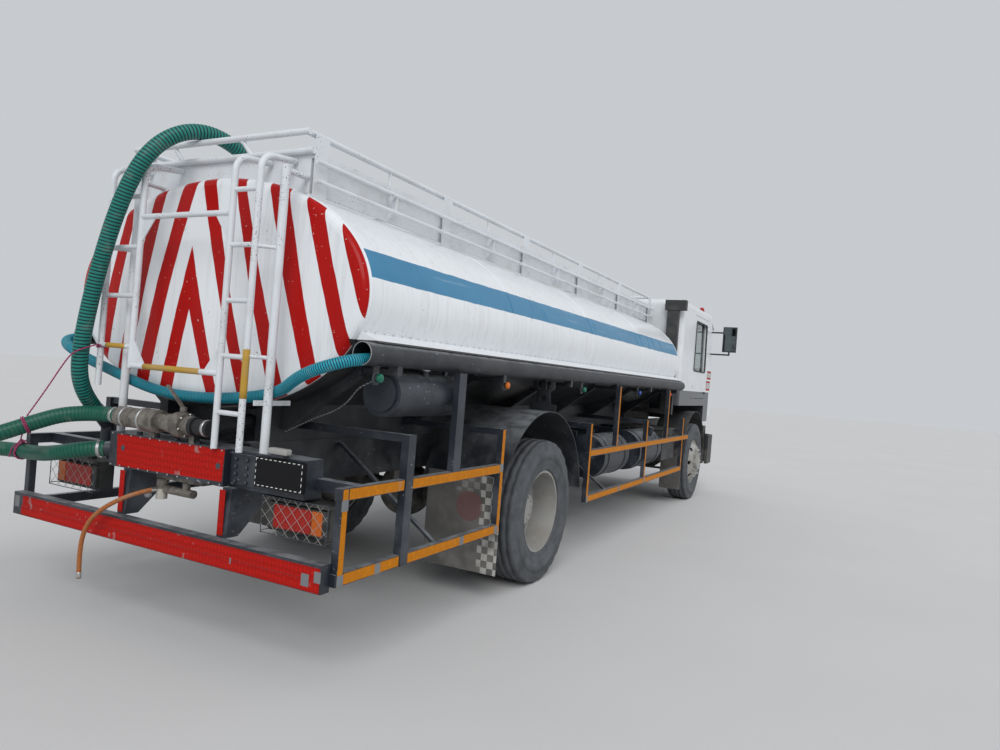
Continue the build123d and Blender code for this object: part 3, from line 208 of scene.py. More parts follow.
def route_line(points):
    """The smooth line of a NURBS spline whose control points are the route's points, as an array."""
    curve = bpy.data.curves.new("route", "CURVE")
    curve.dimensions = "3D"
    spline = curve.splines.new("NURBS")
    spline.points.add(len(points) - 1)
    spline.points.foreach_set("co", np.c_[np.array(points), np.ones(len(points))].ravel())
    spline.order_u = 3
    spline.use_endpoint_u = True
    spline.resolution_u = 24
    carrier = bpy.data.objects.new("route", curve)
    mesh = bpy.data.meshes.new_from_object(carrier)
    line = np.empty(len(mesh.vertices) * 3)
    mesh.vertices.foreach_get("co", line)
    bpy.data.meshes.remove(mesh)
    bpy.data.objects.remove(carrier)
    return line.reshape(-1, 3)


def distances(line):
    """Each point's distance along a line."""
    return np.r_[0, np.cumsum(np.linalg.norm(np.diff(line, axis=0), axis=1))]


def at_marks(line, marks):
    """The points of a line at the given distances along it."""
    along = distances(line)
    return np.stack([np.interp(marks, along, line[:, axis]) for axis in range(3)], 1)


def spaced(line, step):
    """The same line with its points a fixed step apart, and each point's distance along it."""
    length = distances(line)[-1]
    marks = np.linspace(0, length, max(3, round(length / step)))
    return at_marks(line, marks), marks


def frames_along(line):
    """Two unit vectors across the line at each point, carried along it without twist."""
    heading = np.gradient(line, axis=0)
    heading /= np.linalg.norm(heading, axis=1)[:, None]
    first = np.cross(heading[0], (0.0, 0.0, 1.0) if abs(heading[0][2]) < 0.9 else (1.0, 0.0, 0.0))
    across = [first / np.linalg.norm(first)]
    for direction in heading[1:]:
        side = across[-1] - direction * (across[-1] @ direction)
        across.append(side / np.linalg.norm(side))
    across = np.array(across)
    return across, np.cross(heading, across)


def ring_faces(rows, columns):
    """Quads of a grid of rows by columns of points, closed round its columns."""
    row, column = np.meshgrid(np.arange(rows - 1), np.arange(columns), indexing="ij")
    beside = (column + 1) % columns
    quads = np.stack([row * columns + column, row * columns + beside,
                      (row + 1) * columns + beside, (row + 1) * columns + column], -1)
    return quads.reshape(-1, 4)


def tube(name, line, radius, material, columns=12, wave=None):
    """A circle carried along a line; its radius is multiplied by what wave gives from distance and angle."""
    marks = distances(line)
    side, over = frames_along(line)
    angle = np.arange(columns) * 2 * pi / columns
    size = radius * (wave(marks[:, None], angle[None]) if wave else np.ones((len(line), columns)))
    ring = side[:, None] * np.cos(angle)[None, :, None] + over[:, None] * np.sin(angle)[None, :, None]
    points = line[:, None] + ring * size[..., None]
    made = piece(name, points, ring_faces(len(line), columns), material, smooth=True)
    distance = made.data.attributes.new("along", "FLOAT", "POINT")
    distance.data.foreach_set("value", np.repeat(marks, columns).astype(np.float32))
    turn = made.data.attributes.new("turn", "FLOAT_VECTOR", "POINT")
    circle = np.stack([np.cos(angle), np.sin(angle), np.zeros(columns)], 1)
    turn.data.foreach_set("vector", np.tile(circle, (len(line), 1)).astype(np.float32).ravel())
    return made


def hose_finish(name, skin, groove, pitch, phase_share, roughness=0.42):
    """Soft plastic with a darker helix, whose phase is distance over pitch less the turn round the hose."""
    made = Finish(name, roughness, Specular_IOR_Level=0.3)
    along = made.node("ShaderNodeAttribute", attribute_name="along").outputs["Fac"]
    circle = made.node("ShaderNodeAttribute", attribute_name="turn").outputs["Vector"]
    turn = made.node("ShaderNodeSeparateXYZ", {0: circle})
    angle = made.math("ARCTAN2", turn.outputs[1], turn.outputs[0])
    phase = made.math("MULTIPLY_ADD", along, 2 * pi / pitch, made.times(angle, -1.0))
    wave = made.math("SINE", phase)
    dust = made.ramp(made.noise(9, 4), 0.52, 0.72)
    # on a ribbed hose the groove colour is painted shade, laid on the recess between its ribs
    colour = made.mix(made.ramp(wave, phase_share - 0.3, phase_share + 0.3), skin, groove)
    colour = made.mix(made.times(dust, 0.22), colour, (0.33, 0.33, 0.29))
    return made.done(colour, made.ramp(dust, 0, 1, roughness, min(1.0, roughness + 0.3)))


# On the ribbed hoses the groove colour is painted shade: it darkens the helical recess between the ribs.
hose_looks = {
    # skin, groove, rib pitch, share of a turn that is groove, rib height, length of line between rings
    "hose_return": ((0.018, 0.33, 0.43), (0.002, 0.045, 0.075), 0.011, 0.15, 0.045, 0.0027),
    "hose_suction": ((0.013, 0.2, 0.165), (0.003, 0.02, 0.024), 0.019, 0.38, 0.035, 0.004),
    "hose_delivery": ((0.007, 0.1, 0.062), (0.004, 0.068, 0.044), 0.021, 0.35, 0.03, 0.005),
    "hose_drain": ((0.36, 0.125, 0.035), (0.3, 0.1, 0.03), 0.03, 0.8, 0.0, 0.006),
}
steel = Finish("zinc_plated_steel", 0.38, 0.9)
steel_finish = steel.done(steel.mix(steel.noise(30), (0.55, 0.55, 0.54), (0.38, 0.38, 0.38)))
hose_lines = {}
for name, (diameter, route) in hose_routes.items():
    skin, groove, pitch, groove_share, rib, step = hose_looks[name]
    line, marks = spaced(route_line(route), step)
    if not rib:
        line = np.r_[line, [line[-1] + 0.02 * (line[-1] - line[-2])]]
    hose_lines[name] = line

    def rib_wave(distance, angle):
        """One less a shallow groove that winds along the hose; a plain hose closes at its free end."""
        if not rib:
            return np.where(distance >= distance[-1], 0.02, 1.0) + 0 * angle
        return 1 - rib * (0.5 + 0.5 * np.sin(2 * pi * distance / pitch - angle))

    hose = tube(name + "_tube", line, diameter / 2,
                hose_finish(name + "_plastic", skin, groove, pitch, groove_share),
                18 if diameter > 0.05 else 12, rib_wave)
    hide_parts(name)
    fixed(hose)


def tip(name, line, start, reach, radius, material):
    """A short sleeve round a line from one distance along it, narrower on its two end rings."""
    if start < 0:
        start += distances(line)[-1]
    edge = 0.0005
    marks = np.r_[start, np.linspace(start + edge, start + reach - edge, 6), start + reach]
    ends = np.where(np.isin(marks, marks[[0, -1]]), 0.86, 1.0)[:, None]
    sleeve = tube(name, at_marks(line, marks), radius, material, 20, lambda distance, angle: ends + 0 * angle)
    return fixed(sleeve)


clamp_width, clamp_radius = 0.018, 0.0465
for name, hose, start, reach, radius in (
        ("clamp_delivery", "hose_delivery", 0.035, clamp_width, clamp_radius),
        ("clamp_delivery_end", "hose_delivery", -0.04, clamp_width, clamp_radius),
        ("clamp_suction_end", "hose_suction", -0.04, clamp_width, clamp_radius),
        ("drain_tip", "hose_drain", -0.034, 0.03, 0.0132)):
    tip(name, hose_lines[hose], start, reach, radius, steel_finish)

# Rope sling: two laid strands of faded synthetic rope. It runs from the ladder's rail past the suction hose,
# and is tied round both runs of the delivery hose's loop.
rope_radius, rope_step, strand_pitch = 0.0042, 0.0035, 0.02
rope_finish = hose_finish("faded_rope", (0.4, 0.055, 0.15), (0.2, 0.02, 0.07), 0.01, 0.2, 0.9)


def strands(distance, angle):
    """One less two grooves that wind along the rope."""
    return 1 - 0.24 * (0.5 + 0.5 * np.sin(2 * angle - 2 * pi * distance / strand_pitch))


def rope(name, line):
    return fixed(tube(name, line, rope_radius, rope_finish, 8, strands))


def hitch(hose, point, reach=0.048, turns=2):
    """Turns of rope round a hose: a helix about the hose's heading, at the place nearest to a point."""
    line = hose_lines[hose]
    nearest = int(np.argmin(np.linalg.norm(line - point, axis=1)))
    heading = line[nearest + 3] - line[nearest - 3]
    heading /= np.linalg.norm(heading)
    side = np.cross(heading, (0, 0, 1))
    side /= np.linalg.norm(side)
    over = np.cross(heading, side)
    turn = np.linspace(0, 2 * pi * turns, 40 * turns)[:, None]
    climb = heading * 0.009 * (turn / (2 * pi) - turns / 2)
    return line[nearest] + (side * np.cos(turn) + over * np.sin(turn)) * reach + climb


knot_turn = np.arange(60)[:, None]
ladder_turn = np.arange(101)[:, None] / 8
ties = {name: rope(name, spaced(np.array(points, float), rope_step)[0]) for name, points in (
    ("sling_hitch_upper", hitch("hose_delivery", (-4.684, 0.796, 1.025))),
    ("sling_hitch_ladder", np.c_[-4.44 + 0.0215 * np.cos(ladder_turn), 0.57 + 0.0215 * np.sin(ladder_turn),
                                 1.48 + 0.0015 * ladder_turn]),
    ("sling_hitch_lower", hitch("hose_delivery", (-4.484, 1.16, 0.828))),
    ("sling_knot", np.c_[-4.49 + 0.012 * np.cos(knot_turn / 3), 1.16 + 0.014 * np.sin(knot_turn / 4),
                         0.884 + 0.01 * np.sin(knot_turn / 2.3)]),
    ("sling_tail", [(-4.486, 1.17, 0.889), (-4.5, 1.182, 0.88), (-4.532, 1.19, 0.842),
                    (-4.54, 1.194, 0.792)]))}
for name, route, tied_by in (
        ("sling_upper", ((-4.462, 0.556, 1.5), (-4.528, 0.545, 1.482), (-4.592, 0.582, 1.445),
                         (-4.6, 0.65, 1.37), (-4.64, 0.73, 1.21), (-4.684, 0.796, 1.075)),
         ("sling_hitch_upper", "sling_hitch_ladder")),
        ("sling_lower", ((-4.69, 0.812, 0.974), (-4.66, 0.88, 0.945), (-4.6, 0.975, 0.912),
                         (-4.54, 1.08, 0.886), (-4.492, 1.16, 0.882)),
         ("sling_hitch_lower", "sling_knot", "sling_tail"))):
    line, marks = spaced(route_line(route), rope_step)
    rope(name, line)

# Braided line: a thin rubber line under a woven cover, fixed to the right hose tube's bracket and to the
# frame, and hanging freely between them.
braid = hose_finish("braided_line_cover", (0.12, 0.125, 0.13), (0.015, 0.016, 0.018), 0.02, 0.1, 0.7)
braid_radius = 0.004
braid_route = (
    (-4.18, -1.146, 1.42), (-4.225, -1.12, 1.395), (-4.235, -1.096, 1.369), (-4.235, -1.052, 1.311),
    (-4.235, -0.976, 1.26), (-4.235, -0.852, 1.214), (-4.235, -0.746, 1.163), (-4.235, -0.662, 1.124))
braid_line, braid_marks = spaced(route_line(braid_route), 0.005)
braided = fixed(tube("braided_line", braid_line, braid_radius, braid, 8))

# Frame and ironwork: pressed and welded steel under satin black enamel, dusty and chipped, with mud low down.
# Axles are bare castings, valves are dull metal, front mudguards and lamp bodies are black plastic.
def weather(made, colour, dust_colour=(0.3, 0.285, 0.26), dust=0.45, rust=0.1, chips=0.0, low=0.2, high=1.4,
            settled=0.0, settled_colour=(0.27, 0.285, 0.3)):
    """A colour under dust, more of it low down, small rust spots and paint chips, and the share of dust."""
    height = made.ramp(made.dot((0, 0, 1)), low, high, 1.0, 0.35)
    patches = made.ramp(made.noise(5.5, 6), 0.42, 0.7)
    amount = made.times(patches, height, dust)
    colour = made.mix(amount, colour, dust_colour)
    # Faces turned upwards are lightened towards a pale blue-grey, in patches.
    if settled:
        normal = made.node("ShaderNodeTexCoord").outputs["Normal"]
        facing_up = made.ramp(made.dot((0, 0, 1), normal), 0.55, 0.95)
        layer = made.times(facing_up, made.ramp(made.noise(13, 5), 0.3, 0.62, 0.35, 1.0))
        colour = made.mix(made.times(layer, settled), colour, settled_colour)
    if rust:
        spots = made.times(made.ramp(made.noise(60, 5), 0.66, 0.74),
                           made.ramp(made.noise(3.1, 2), 0.62 - rust, 0.72))
        colour = made.mix(spots, colour, (0.16, 0.055, 0.022))
    if chips:
        flakes = made.times(made.ramp(made.noise(150, 2), 0.7 - chips * 0.1, 0.72 - chips * 0.1),
                            made.ramp(made.noise(4.5, 3), 0.5, 0.6))
        colour = made.mix(flakes, colour, (0.05, 0.035, 0.03))
    return colour, amount


def worn_paint(name, colour, roughness=0.45, metallic=0.0, bump=0.12, scratches=0.0, **wear):
    """Enamel of one colour, cloudy by a tenth, then weathered and scratched, with a fine orange-peel bump."""
    made = Finish(name, roughness, metallic)
    shade = made.mix(made.noise(2.2, 3), tuple(0.88 * c for c in colour), tuple(1.1 * c for c in colour))
    shade, dusty = weather(made, shade, **wear)
    if scratches:
        marks = made.times(made.ramp(made.noise(1.0, 6, made.stretch((34, 34, 80))), 0.62, 0.68),
                           made.ramp(made.noise(5.0, 3), 0.5, 0.62))
        shade = made.mix(made.times(marks, scratches), shade, (0.33, 0.36, 0.4))
    orange_peel = made.bump(made.noise(160, 2), bump, 0.0008)
    return made.done(shade, made.ramp(dusty, 0, 0.5, roughness, min(0.95, roughness + 0.35)), orange_peel)


black_paint = worn_paint("black_frame_paint", (0.014, 0.018, 0.026), 0.42, dust=0.32, rust=0.1,
                         scratches=0.55, dust_colour=(0.19, 0.21, 0.24), settled=0.75)
chassis_paint = worn_paint("chassis_paint", (0.013, 0.015, 0.02), 0.5, dust=0.42, rust=0.14, scratches=0.35,
                           dust_colour=(0.18, 0.185, 0.19), settled=0.6)
cast_finish = worn_paint("cast_iron_dusty", (0.045, 0.043, 0.04), 0.6, dust=0.7, rust=0.2, bump=0.4)
valve = Finish("dull_valve_metal", 0.55, 0.2)
valve_up, valve_across = valve.dot((0, 0, 1)), valve.dot((0, 1, 0))
valve_shade = valve.mix(valve.ramp(valve.noise(24, 5), 0.36, 0.64), (0.085, 0.077, 0.068), (0.2, 0.18, 0.155))
valve_shade, valve_dust = weather(valve, valve_shade, dust=0.3, rust=0.2)
black_end = valve.times(valve.ramp(valve_across, -0.216, -0.214, 1.0, 0.0), valve.ramp(valve_up, 1.02, 1.03))
valve_shade = valve.mix(black_end, valve_shade, (0.014, 0.015, 0.017))
pale_foot = valve.times(valve.ramp(valve_across, 0.038, 0.042), valve.ramp(valve_up, 0.744, 0.746, 1.0, 0.0))
valve_shade = valve.mix(pale_foot, valve_shade, (0.46, 0.44, 0.39))
valve_finish = valve.done(valve_shade, valve.ramp(valve_dust, 0, 0.4, 0.5, 0.8),
                          valve.bump(valve.noise(120, 3), 0.3, 0.001))
rubber_finish = worn_paint("dusty_rubber", (0.022, 0.022, 0.022), 0.75, dust=0.8, rust=0.0, low=0.0, high=0.9)
plastic_finish = worn_paint("black_plastic", (0.026, 0.027, 0.028), 0.58, dust=0.35, rust=0.0, bump=0.35)


def dress(material, *names):
    """Gives CAD nodes a material in place of their plain one."""
    for name in names:
        for material_slot in nodes[name].material_slots:
            material_slot.material = material


dress(chassis_paint, "chassis_frame", "tank_subframe", "rear_mudguards", "hose_tubes")
dress(black_paint, "rear_crossmember", "underrun_guard", "side_guards_rear", "side_guards_front",
      "wash_water_tank", "fuel_tank", "air_tanks", "exhaust")
dress(cast_finish, "front_axle", "rear_axle", "knuckle_left", "knuckle_right", "tie_rod", "engine_block")
dress(valve_finish, "discharge_valve", "drain_valve")
dress(plastic_finish, "battery_box", "front_mudguards", "front_bumper", "intake_snorkel", "cab_grille",
      "mirrors", "dashboard", "marker_lamps", "tail_lamps", "headlamps")


# Tank: rolled mild-steel shell with welded dished ends, white enamel outside, a painted blue band along each
# side and red chevrons on the rear end. Water and rust have run down from the walkway.
tank_rear, tank_front, tank_middle_z = -4.2, 2.14, 1.835
tank_half_width, tank_half_height = 1.115, 0.64
enamel = Finish("tank_enamel", 0.3, Coat_Weight=0.25, Coat_Roughness=0.15)
east, sideways, height = enamel.axes()
white = enamel.mix(enamel.noise(1.3, 4), (0.72, 0.75, 0.78), (0.83, 0.85, 0.87))
runs = enamel.ramp(enamel.noise(1.0, 4, enamel.stretch((9, 9, 0.55))), 0.52, 0.78)
white = enamel.mix(enamel.times(runs, 0.2), white, (0.42, 0.4, 0.36))
fine_runs = enamel.ramp(enamel.noise(1.0, 3, enamel.stretch((34, 34, 0.7))), 0.52, 0.66)
white = enamel.mix(enamel.times(fine_runs, 0.16), white, (0.4, 0.39, 0.37))
edge_wobble = enamel.math("MULTIPLY_ADD", enamel.noise(7, 3), 0.012, -0.006)


def between(made, value, low, high, soft=0.0015):
    """One where the value lies between two bounds."""
    return made.times(made.ramp(value, low - soft, low + soft),
                      made.ramp(value, high - soft, high + soft, 1.0, 0.0))


band = enamel.times(between(enamel, enamel.math("ADD", height, edge_wobble), 1.932, 2.076),
                    between(enamel, east, tank_rear + 0.012, tank_front - 0.01, 0.002))
blue = enamel.mix(enamel.noise(3, 5), (0.018, 0.16, 0.31), (0.032, 0.222, 0.4))
chalk = enamel.ramp(enamel.noise(1.0, 5, enamel.stretch((1.2, 5, 22))), 0.6, 0.8)
blue = enamel.mix(enamel.times(chalk, 0.3), blue, (0.5, 0.58, 0.64))
colour = enamel.mix(band, white, blue)
stripes = (
    # each red stripe's two edges, from (y, z) to (y, z)
    ((0.122, 2.46), (0.401, 1.335), (0.232, 2.46), (0.511, 1.335)),
    ((-0.016, 2.46), (-0.389, 1.297), (0.084, 2.46), (-0.306, 1.297)),
    ((0.371, 2.44), (0.575, 1.355), (0.458, 2.44), (0.697, 1.355)),
    ((-0.248, 2.444), (-0.629, 1.345), (-0.172, 2.444), (-0.523, 1.345)),
    ((0.618, 2.362), (0.8, 1.4), (0.697, 2.362), (0.92, 1.4)),
    ((-0.558, 2.397), (-0.84, 1.467), (-0.43, 2.397), (-0.739, 1.467)),
    ((-0.792, 2.31), (-1.049, 1.557), (-0.688, 2.31), (-0.959, 1.557)),
    ((-1.4, 2.206), (-1.5, 1.706), (-0.915, 2.206), (-1.103, 1.706)),
    ((0.88, 2.24), (1.03, 1.5), (1.4, 2.24), (1.5, 1.5)),
)
chevron = (((0.11, 2.091), (-0.156, 1.277), (0.11, 2.091), (0.305, 1.29)),
           ((0.093, 1.734), (-0.071, 1.277), (0.093, 1.734), (0.2, 1.29)))
wobbled = enamel.math("ADD", sideways, enamel.math("MULTIPLY_ADD", enamel.noise(5, 2), 0.014, -0.007))


def left_of(line_low, line_high):
    """One left of a slanted line, seen from behind: where y is above the line's own y at that height."""
    slope = (line_high[0] - line_low[0]) / (line_high[1] - line_low[1])
    ahead_of = enamel.math("MULTIPLY_ADD", height, -slope, slope * line_low[1] - line_low[0])
    return enamel.ramp(enamel.math("ADD", wobbled, ahead_of), -0.0012, 0.0012)


def strip_mask(edges):
    """One between a stripe's two slanted edges."""
    right_top, right_low, left_top, left_low = edges
    inside_left = enamel.math("SUBTRACT", 1.0, left_of(left_low, left_top))
    return enamel.times(left_of(right_low, right_top), inside_left)


outer_chevron, inner_chevron = [strip_mask(edges) for edges in chevron]
below_apex = enamel.ramp(height, 2.0905, 2.0915, 1.0, 0.0)
below_inner = enamel.ramp(height, 1.7335, 1.7345, 1.0, 0.0)
around_inner = enamel.math("SUBTRACT", 1.0, enamel.times(inner_chevron, below_inner))
red_mask = enamel.times(outer_chevron, below_apex, around_inner)
for edges in stripes:
    red_mask = enamel.math("MAXIMUM", red_mask, strip_mask(edges))
# Red stays on the end plate, behind its weld, and above the flange's line.
on_head = enamel.times(enamel.ramp(east, tank_rear - 0.012, tank_rear - 0.006, 1.0, 0.0),
                       enamel.ramp(height, 1.262, 1.268))
red_mask = enamel.times(red_mask, on_head)
red = enamel.mix(enamel.noise(2.4, 4), (0.34, 0.004, 0.003), (0.45, 0.007, 0.005))
red = enamel.mix(enamel.ramp(enamel.noise(60, 2), 0.72, 0.74), red, (0.55, 0.4, 0.36))
dull_share = enamel.math("MAXIMUM", red_mask, enamel.times(band, 0.6))
for socket, plain, on_colour in (("Specular IOR Level", 0.5, 0.12), ("Coat Weight", 0.25, 0.04)):
    enamel.tree.links.new(enamel.ramp(dull_share, 0, 1, plain, on_colour), enamel.shader.inputs[socket])
colour = enamel.mix(red_mask, colour, red)
underside = enamel.ramp(height, 1.2555, 1.2575, 1.0, 0.0)
flange_black = enamel.times(between(enamel, height, 1.2, 1.6205, 0.0005),
                            enamel.ramp(enamel.math("ABSOLUTE", sideways), 1.02, 1.03))
low_black = enamel.times(enamel.ramp(height, 1.608, 1.612, 1.0, 0.0),
                         between(enamel, east, tank_rear - 0.006, tank_front + 0.02))
black_share = enamel.math("MAXIMUM", enamel.math("MAXIMUM", underside, flange_black), low_black)
colour = enamel.mix(black_share, colour, (0.018, 0.018, 0.019))
rust_spots = enamel.times(enamel.ramp(enamel.noise(42, 4), 0.66, 0.7),
                          enamel.ramp(enamel.noise(2.2, 2), 0.5, 0.68))
colour = enamel.mix(enamel.times(rust_spots, 0.7), colour, (0.16, 0.07, 0.03))
dents = enamel.bump(enamel.noise(1.8, 2), 0.25, 0.02)
tank_white = enamel.done(colour, enamel.ramp(runs, 0, 1, 0.28, 0.5),
                         enamel.bump(enamel.noise(140, 2), 0.08, 0.0006, dents))
dress(tank_white, "tank_shell")

# Weld beads: the tank's rings and ends are welded all round and painted over with the shell. Ladders, walkway
# and lids are tube and sheet steel under white paint of their own, chipped and rust-stained.
ladder_white = worn_paint("white_ladder_paint", (0.66, 0.69, 0.72), 0.42, dust=0.34, rust=0.32, chips=0.8,
                          dust_colour=(0.42, 0.39, 0.35), low=1.0, high=2.6)
walkway_white = worn_paint("white_walkway_paint", (0.68, 0.71, 0.74), 0.42, dust=0.3, rust=0.32, chips=0.5,
                           dust_colour=(0.42, 0.38, 0.33), low=2.3, high=2.9)
dress(ladder_white, "rear_ladders")
dress(walkway_white, "walkway_coaming", "manhole_lid_front", "manhole_lid_rear")


def ellipse_line(x, grow, count=96):
    """A closed ring of points on the tank's ellipse at one x, grown outwards."""
    angle = np.linspace(0, 2 * pi, count + 1)
    across, tall = tank_half_width + grow, tank_half_height + grow
    return np.stack([np.full(count + 1, x), across * np.cos(angle), tank_middle_z + tall * np.sin(angle)], 1)


weld_rise, weld_radius = 0.0005, 0.0028
for step, x in enumerate((tank_rear + 0.006, -2.615, -1.03, 0.555, tank_front - 0.006)):
    bead = tube(f"tank_weld_{step}", ellipse_line(x, weld_rise), weld_radius, tank_white, 6)
    fixed(bead)


# Side flanges: folded lips stitch-welded to the shell along their top edge, white above and black below. The
# hose tubes that hang under them end in worn bare lips.
def wires(name, ends, radius, material, body="chassis", sides=5):
    """Straight wires, each between two points, as one piece of closed thin prisms."""
    ends = np.array(ends, float)
    run = ends[:, 1] - ends[:, 0]
    run /= np.linalg.norm(run, axis=1)[:, None]
    helper = np.where(np.abs(run[:, 2:3]) < 0.9, [[0.0, 0.0, 1.0]], [[1.0, 0.0, 0.0]])
    side = np.cross(run, helper)
    side /= np.linalg.norm(side, axis=1)[:, None]
    over = np.cross(run, side)
    angle = np.arange(sides) * 2 * pi / sides
    ring = side[:, None] * np.cos(angle)[None, :, None] + over[:, None] * np.sin(angle)[None, :, None]
    ring *= radius
    points = np.concatenate([ends[:, :1] + ring, ends[:, 1:] + ring], 1)
    quads = ring_faces(2, sides)
    faces = (quads[None] + (np.arange(len(ends)) * 2 * sides)[:, None, None]).reshape(-1, 4)
    return fixed(piece(name, points, faces, material, smooth=True), body)


stitch_y, stitch_z, stitch_length = 1.0755, 1.6625, 0.04
stitch_xs = np.arange(tank_rear + 0.03, tank_front - 0.05, 0.078)
stitches = [((x, way * stitch_y, stitch_z), (x + stitch_length, way * stitch_y, stitch_z))
            for way in (-1, 1) for x in stitch_xs]
wires("flange_stitch_welds", stitches, 0.0055, tank_white, sides=6)
tube_lip = worn_paint("worn_tube_lip", (0.3, 0.31, 0.32), 0.5, 0.4, dust=0.5, rust=0.25)
lip_y, lip_z, lip_circle = 1.15, 1.5537, 0.0552
lip_turn = np.linspace(0, 2 * pi, 49)
for name, x, way in (("rear_right", -4.28, -1), ("rear_left", -4.2, 1), ("front_right", 2.21, -1),
                     ("front_left", 2.21, 1)):
    circle = np.stack([np.full(49, x), way * lip_y + lip_circle * np.cos(lip_turn),
                       lip_z + lip_circle * np.sin(lip_turn)], 1)
    fixed(tube("tube_lip_" + name, circle, 0.0026, tube_lip, 6))

# Ladder tape: dusty yellow non-slip tape, wound round the right ladder's rail, a rung of the left one and the
# gate between them.
yellow_tape = worn_paint("yellow_tape", (0.46, 0.27, 0.035), 0.8, dust=0.35, rust=0.0, low=1.0, high=1.8)
for name, start, end, radius in (
        ("gate_tape", (-4.44, -0.25, 1.398), (-4.44, 0.188, 1.398), 0.0159),
        ("right_rail_tape", (-4.44, -0.565, 1.285), (-4.44, -0.565, 1.53), 0.0179),
        ("left_rung_tape", (-4.44, 0.351, 1.5), (-4.44, 0.517, 1.5), 0.0139)):
    line = spaced(np.array([start, end]), 0.01)[0]
    tip(name, line, 0.0, float(np.linalg.norm(line[-1] - line[0])), radius, yellow_tape)

# Tyres: radial tyres with a ribbed highway tread, two on each rear hub and one on each front hub, grey with
# road dust. The tread's grooves run round them in a zigzag.
tyre_rubber = Finish("tyre_rubber", 0.78)
tyre_patches = tyre_rubber.ramp(tyre_rubber.noise(11, 6), 0.25, 0.75)
tyre_dust = tyre_rubber.math("MULTIPLY_ADD", tyre_patches, 0.22, 0.16)
tyre_finish = tyre_rubber.done(
    tyre_rubber.mix(tyre_dust, (0.018, 0.02, 0.023), (0.21, 0.225, 0.245)), None,
    tyre_rubber.bump(tyre_rubber.noise(90, 3), 0.25, 0.001))
wheel_z, tyre_half, tyre_outer = 0.525, 0.14, 0.525
rear_axle_x, front_axle_x = -2.11, 3.19
groove_places = (-0.6, -0.2, 0.2, 0.6)


def tyre_section():
    """The tyre's outer line as (share of the half width, radius, how far it follows the tread's zigzag)."""
    wall = [(0.7, 0.3, 0), (0.78, 0.303, 0), (0.86, 0.306, 0), (0.885, 0.316, 0), (0.87, 0.322, 0),
            (0.93, 0.345, 0), (0.975, 0.372, 0), (0.99, 0.39, 0), (0.996, 0.3905, 0), (1.0, 0.418, 0),
            (0.995, 0.44, 0), (0.985, 0.4405, 0), (0.955, 0.466, 0), (0.915, 0.487, 0), (0.895, 0.5, 0),
            (0.875, 0.511, 0.4)]
    top = [(0.86, 0.516, 0.5)]
    for centre in reversed(groove_places):
        for offset, depth in ((0.055, 0.0), (0.04, 0.013), (-0.04, 0.013), (-0.055, 0.0)):
            share = centre + offset
            top.append((share, tyre_outer - 0.008 * share ** 4 - depth, 1))
    left = [(-share, radius, follow) for share, radius, follow in reversed(wall + top[:1])]
    return np.array(wall + top + left)


def tyre(x, y, columns=168):
    """A tyre turned about its axle: the section's points at each angle, the tread's grooves in a zigzag."""
    section = tyre_section()
    share, radius, follow = section.T[:, :, None]
    step = np.arange(columns)
    turn = step * 2 * pi / columns
    zigzag = np.abs((step % 6) - 3) / 3 - 0.5
    lug = np.where((step % 6) < 2, 0.004, 0.0)
    across = y + tyre_half * share + 0.007 * zigzag[None] * follow
    radius = radius - lug[None] * ((follow > 0.3) & (follow < 0.9))
    points = np.stack([x + radius * np.cos(turn)[None], across, wheel_z + radius * np.sin(turn)[None]], -1)
    return points.reshape(-1, 3), ring_faces(len(section), columns)[:, ::-1]


for node, body, x, middles in (
        ("rear_tyres_left", "rear_wheels_left", rear_axle_x, (1.095, 0.775)),
        ("rear_tyres_right", "rear_wheels_right", rear_axle_x, (-1.095, -0.775)),
        ("front_tyre_left", "front_wheel_left", front_axle_x, (1.05,)),
        ("front_tyre_right", "front_wheel_right", front_axle_x, (-1.05,))):
    points, quads = zip(*(tyre(x, y) for y in middles))
    faces = [each + number * len(points[0]) for number, each in enumerate(quads)]
    rubber = piece(node + "_tread", np.concatenate(points), np.concatenate(faces), tyre_finish, smooth=True)
    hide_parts(node)
    fixed(rubber, body)

# Rims: pressed steel under dusty pale paint. Each is held by ten nuts on the hub's studs, with ten small
# bolts round the axle's end.
rim_finish = worn_paint("rim_paint", (0.34, 0.335, 0.32), 0.6, 0.1, dust=0.6, rust=0.16,
                        dust_colour=(0.27, 0.245, 0.215), low=0.0, high=2.5)
dress(rim_finish, "front_rim_left", "front_rim_right", "rear_rims_left", "rear_rims_right")
both_sides = (("right", -1), ("left", 1))


def circle_across(axis, sides):
    """Points of a unit circle across an axis: cosine along one vector and sine along the other."""
    side = np.cross(axis, (0, 0, 1) if abs(axis[2]) < 0.9 else (1, 0, 0))
    side /= np.linalg.norm(side)
    over = np.cross(axis, side)
    angle = np.arange(sides) * 2 * pi / sides
    return side * np.cos(angle)[:, None] + over * np.sin(angle)[:, None]


def studs(name, centres, axis, radius, height, material, body="chassis", sides=6):
    """Bolt heads: a many-sided crown on each centre, standing along one axis, chamfered round its top."""
    axis = np.array(axis, float)
    ring = circle_across(axis, sides)
    shape = np.concatenate([ring * radius, ring * radius + axis * height * 0.75,
                            ring * radius * 0.72 + axis * height, [axis * height]])
    centres = np.array(centres, float)
    points = centres[:, None] + shape[None]
    corner = np.arange(sides)
    beside = (corner + 1) % sides
    wall = np.stack([corner, beside, beside + sides, corner + sides], 1)
    caps = np.stack([corner + 2 * sides, beside + 2 * sides, np.full(sides, 3 * sides)], 1)
    shift = (np.arange(len(centres)) * len(shape))[:, None, None]
    quads = np.concatenate([wall, wall + sides])
    faces = (quads[None] + shift).reshape(-1, 4).tolist() + (caps[None] + shift).reshape(-1, 3).tolist()
    return fixed(piece(name, points, faces, material), body)


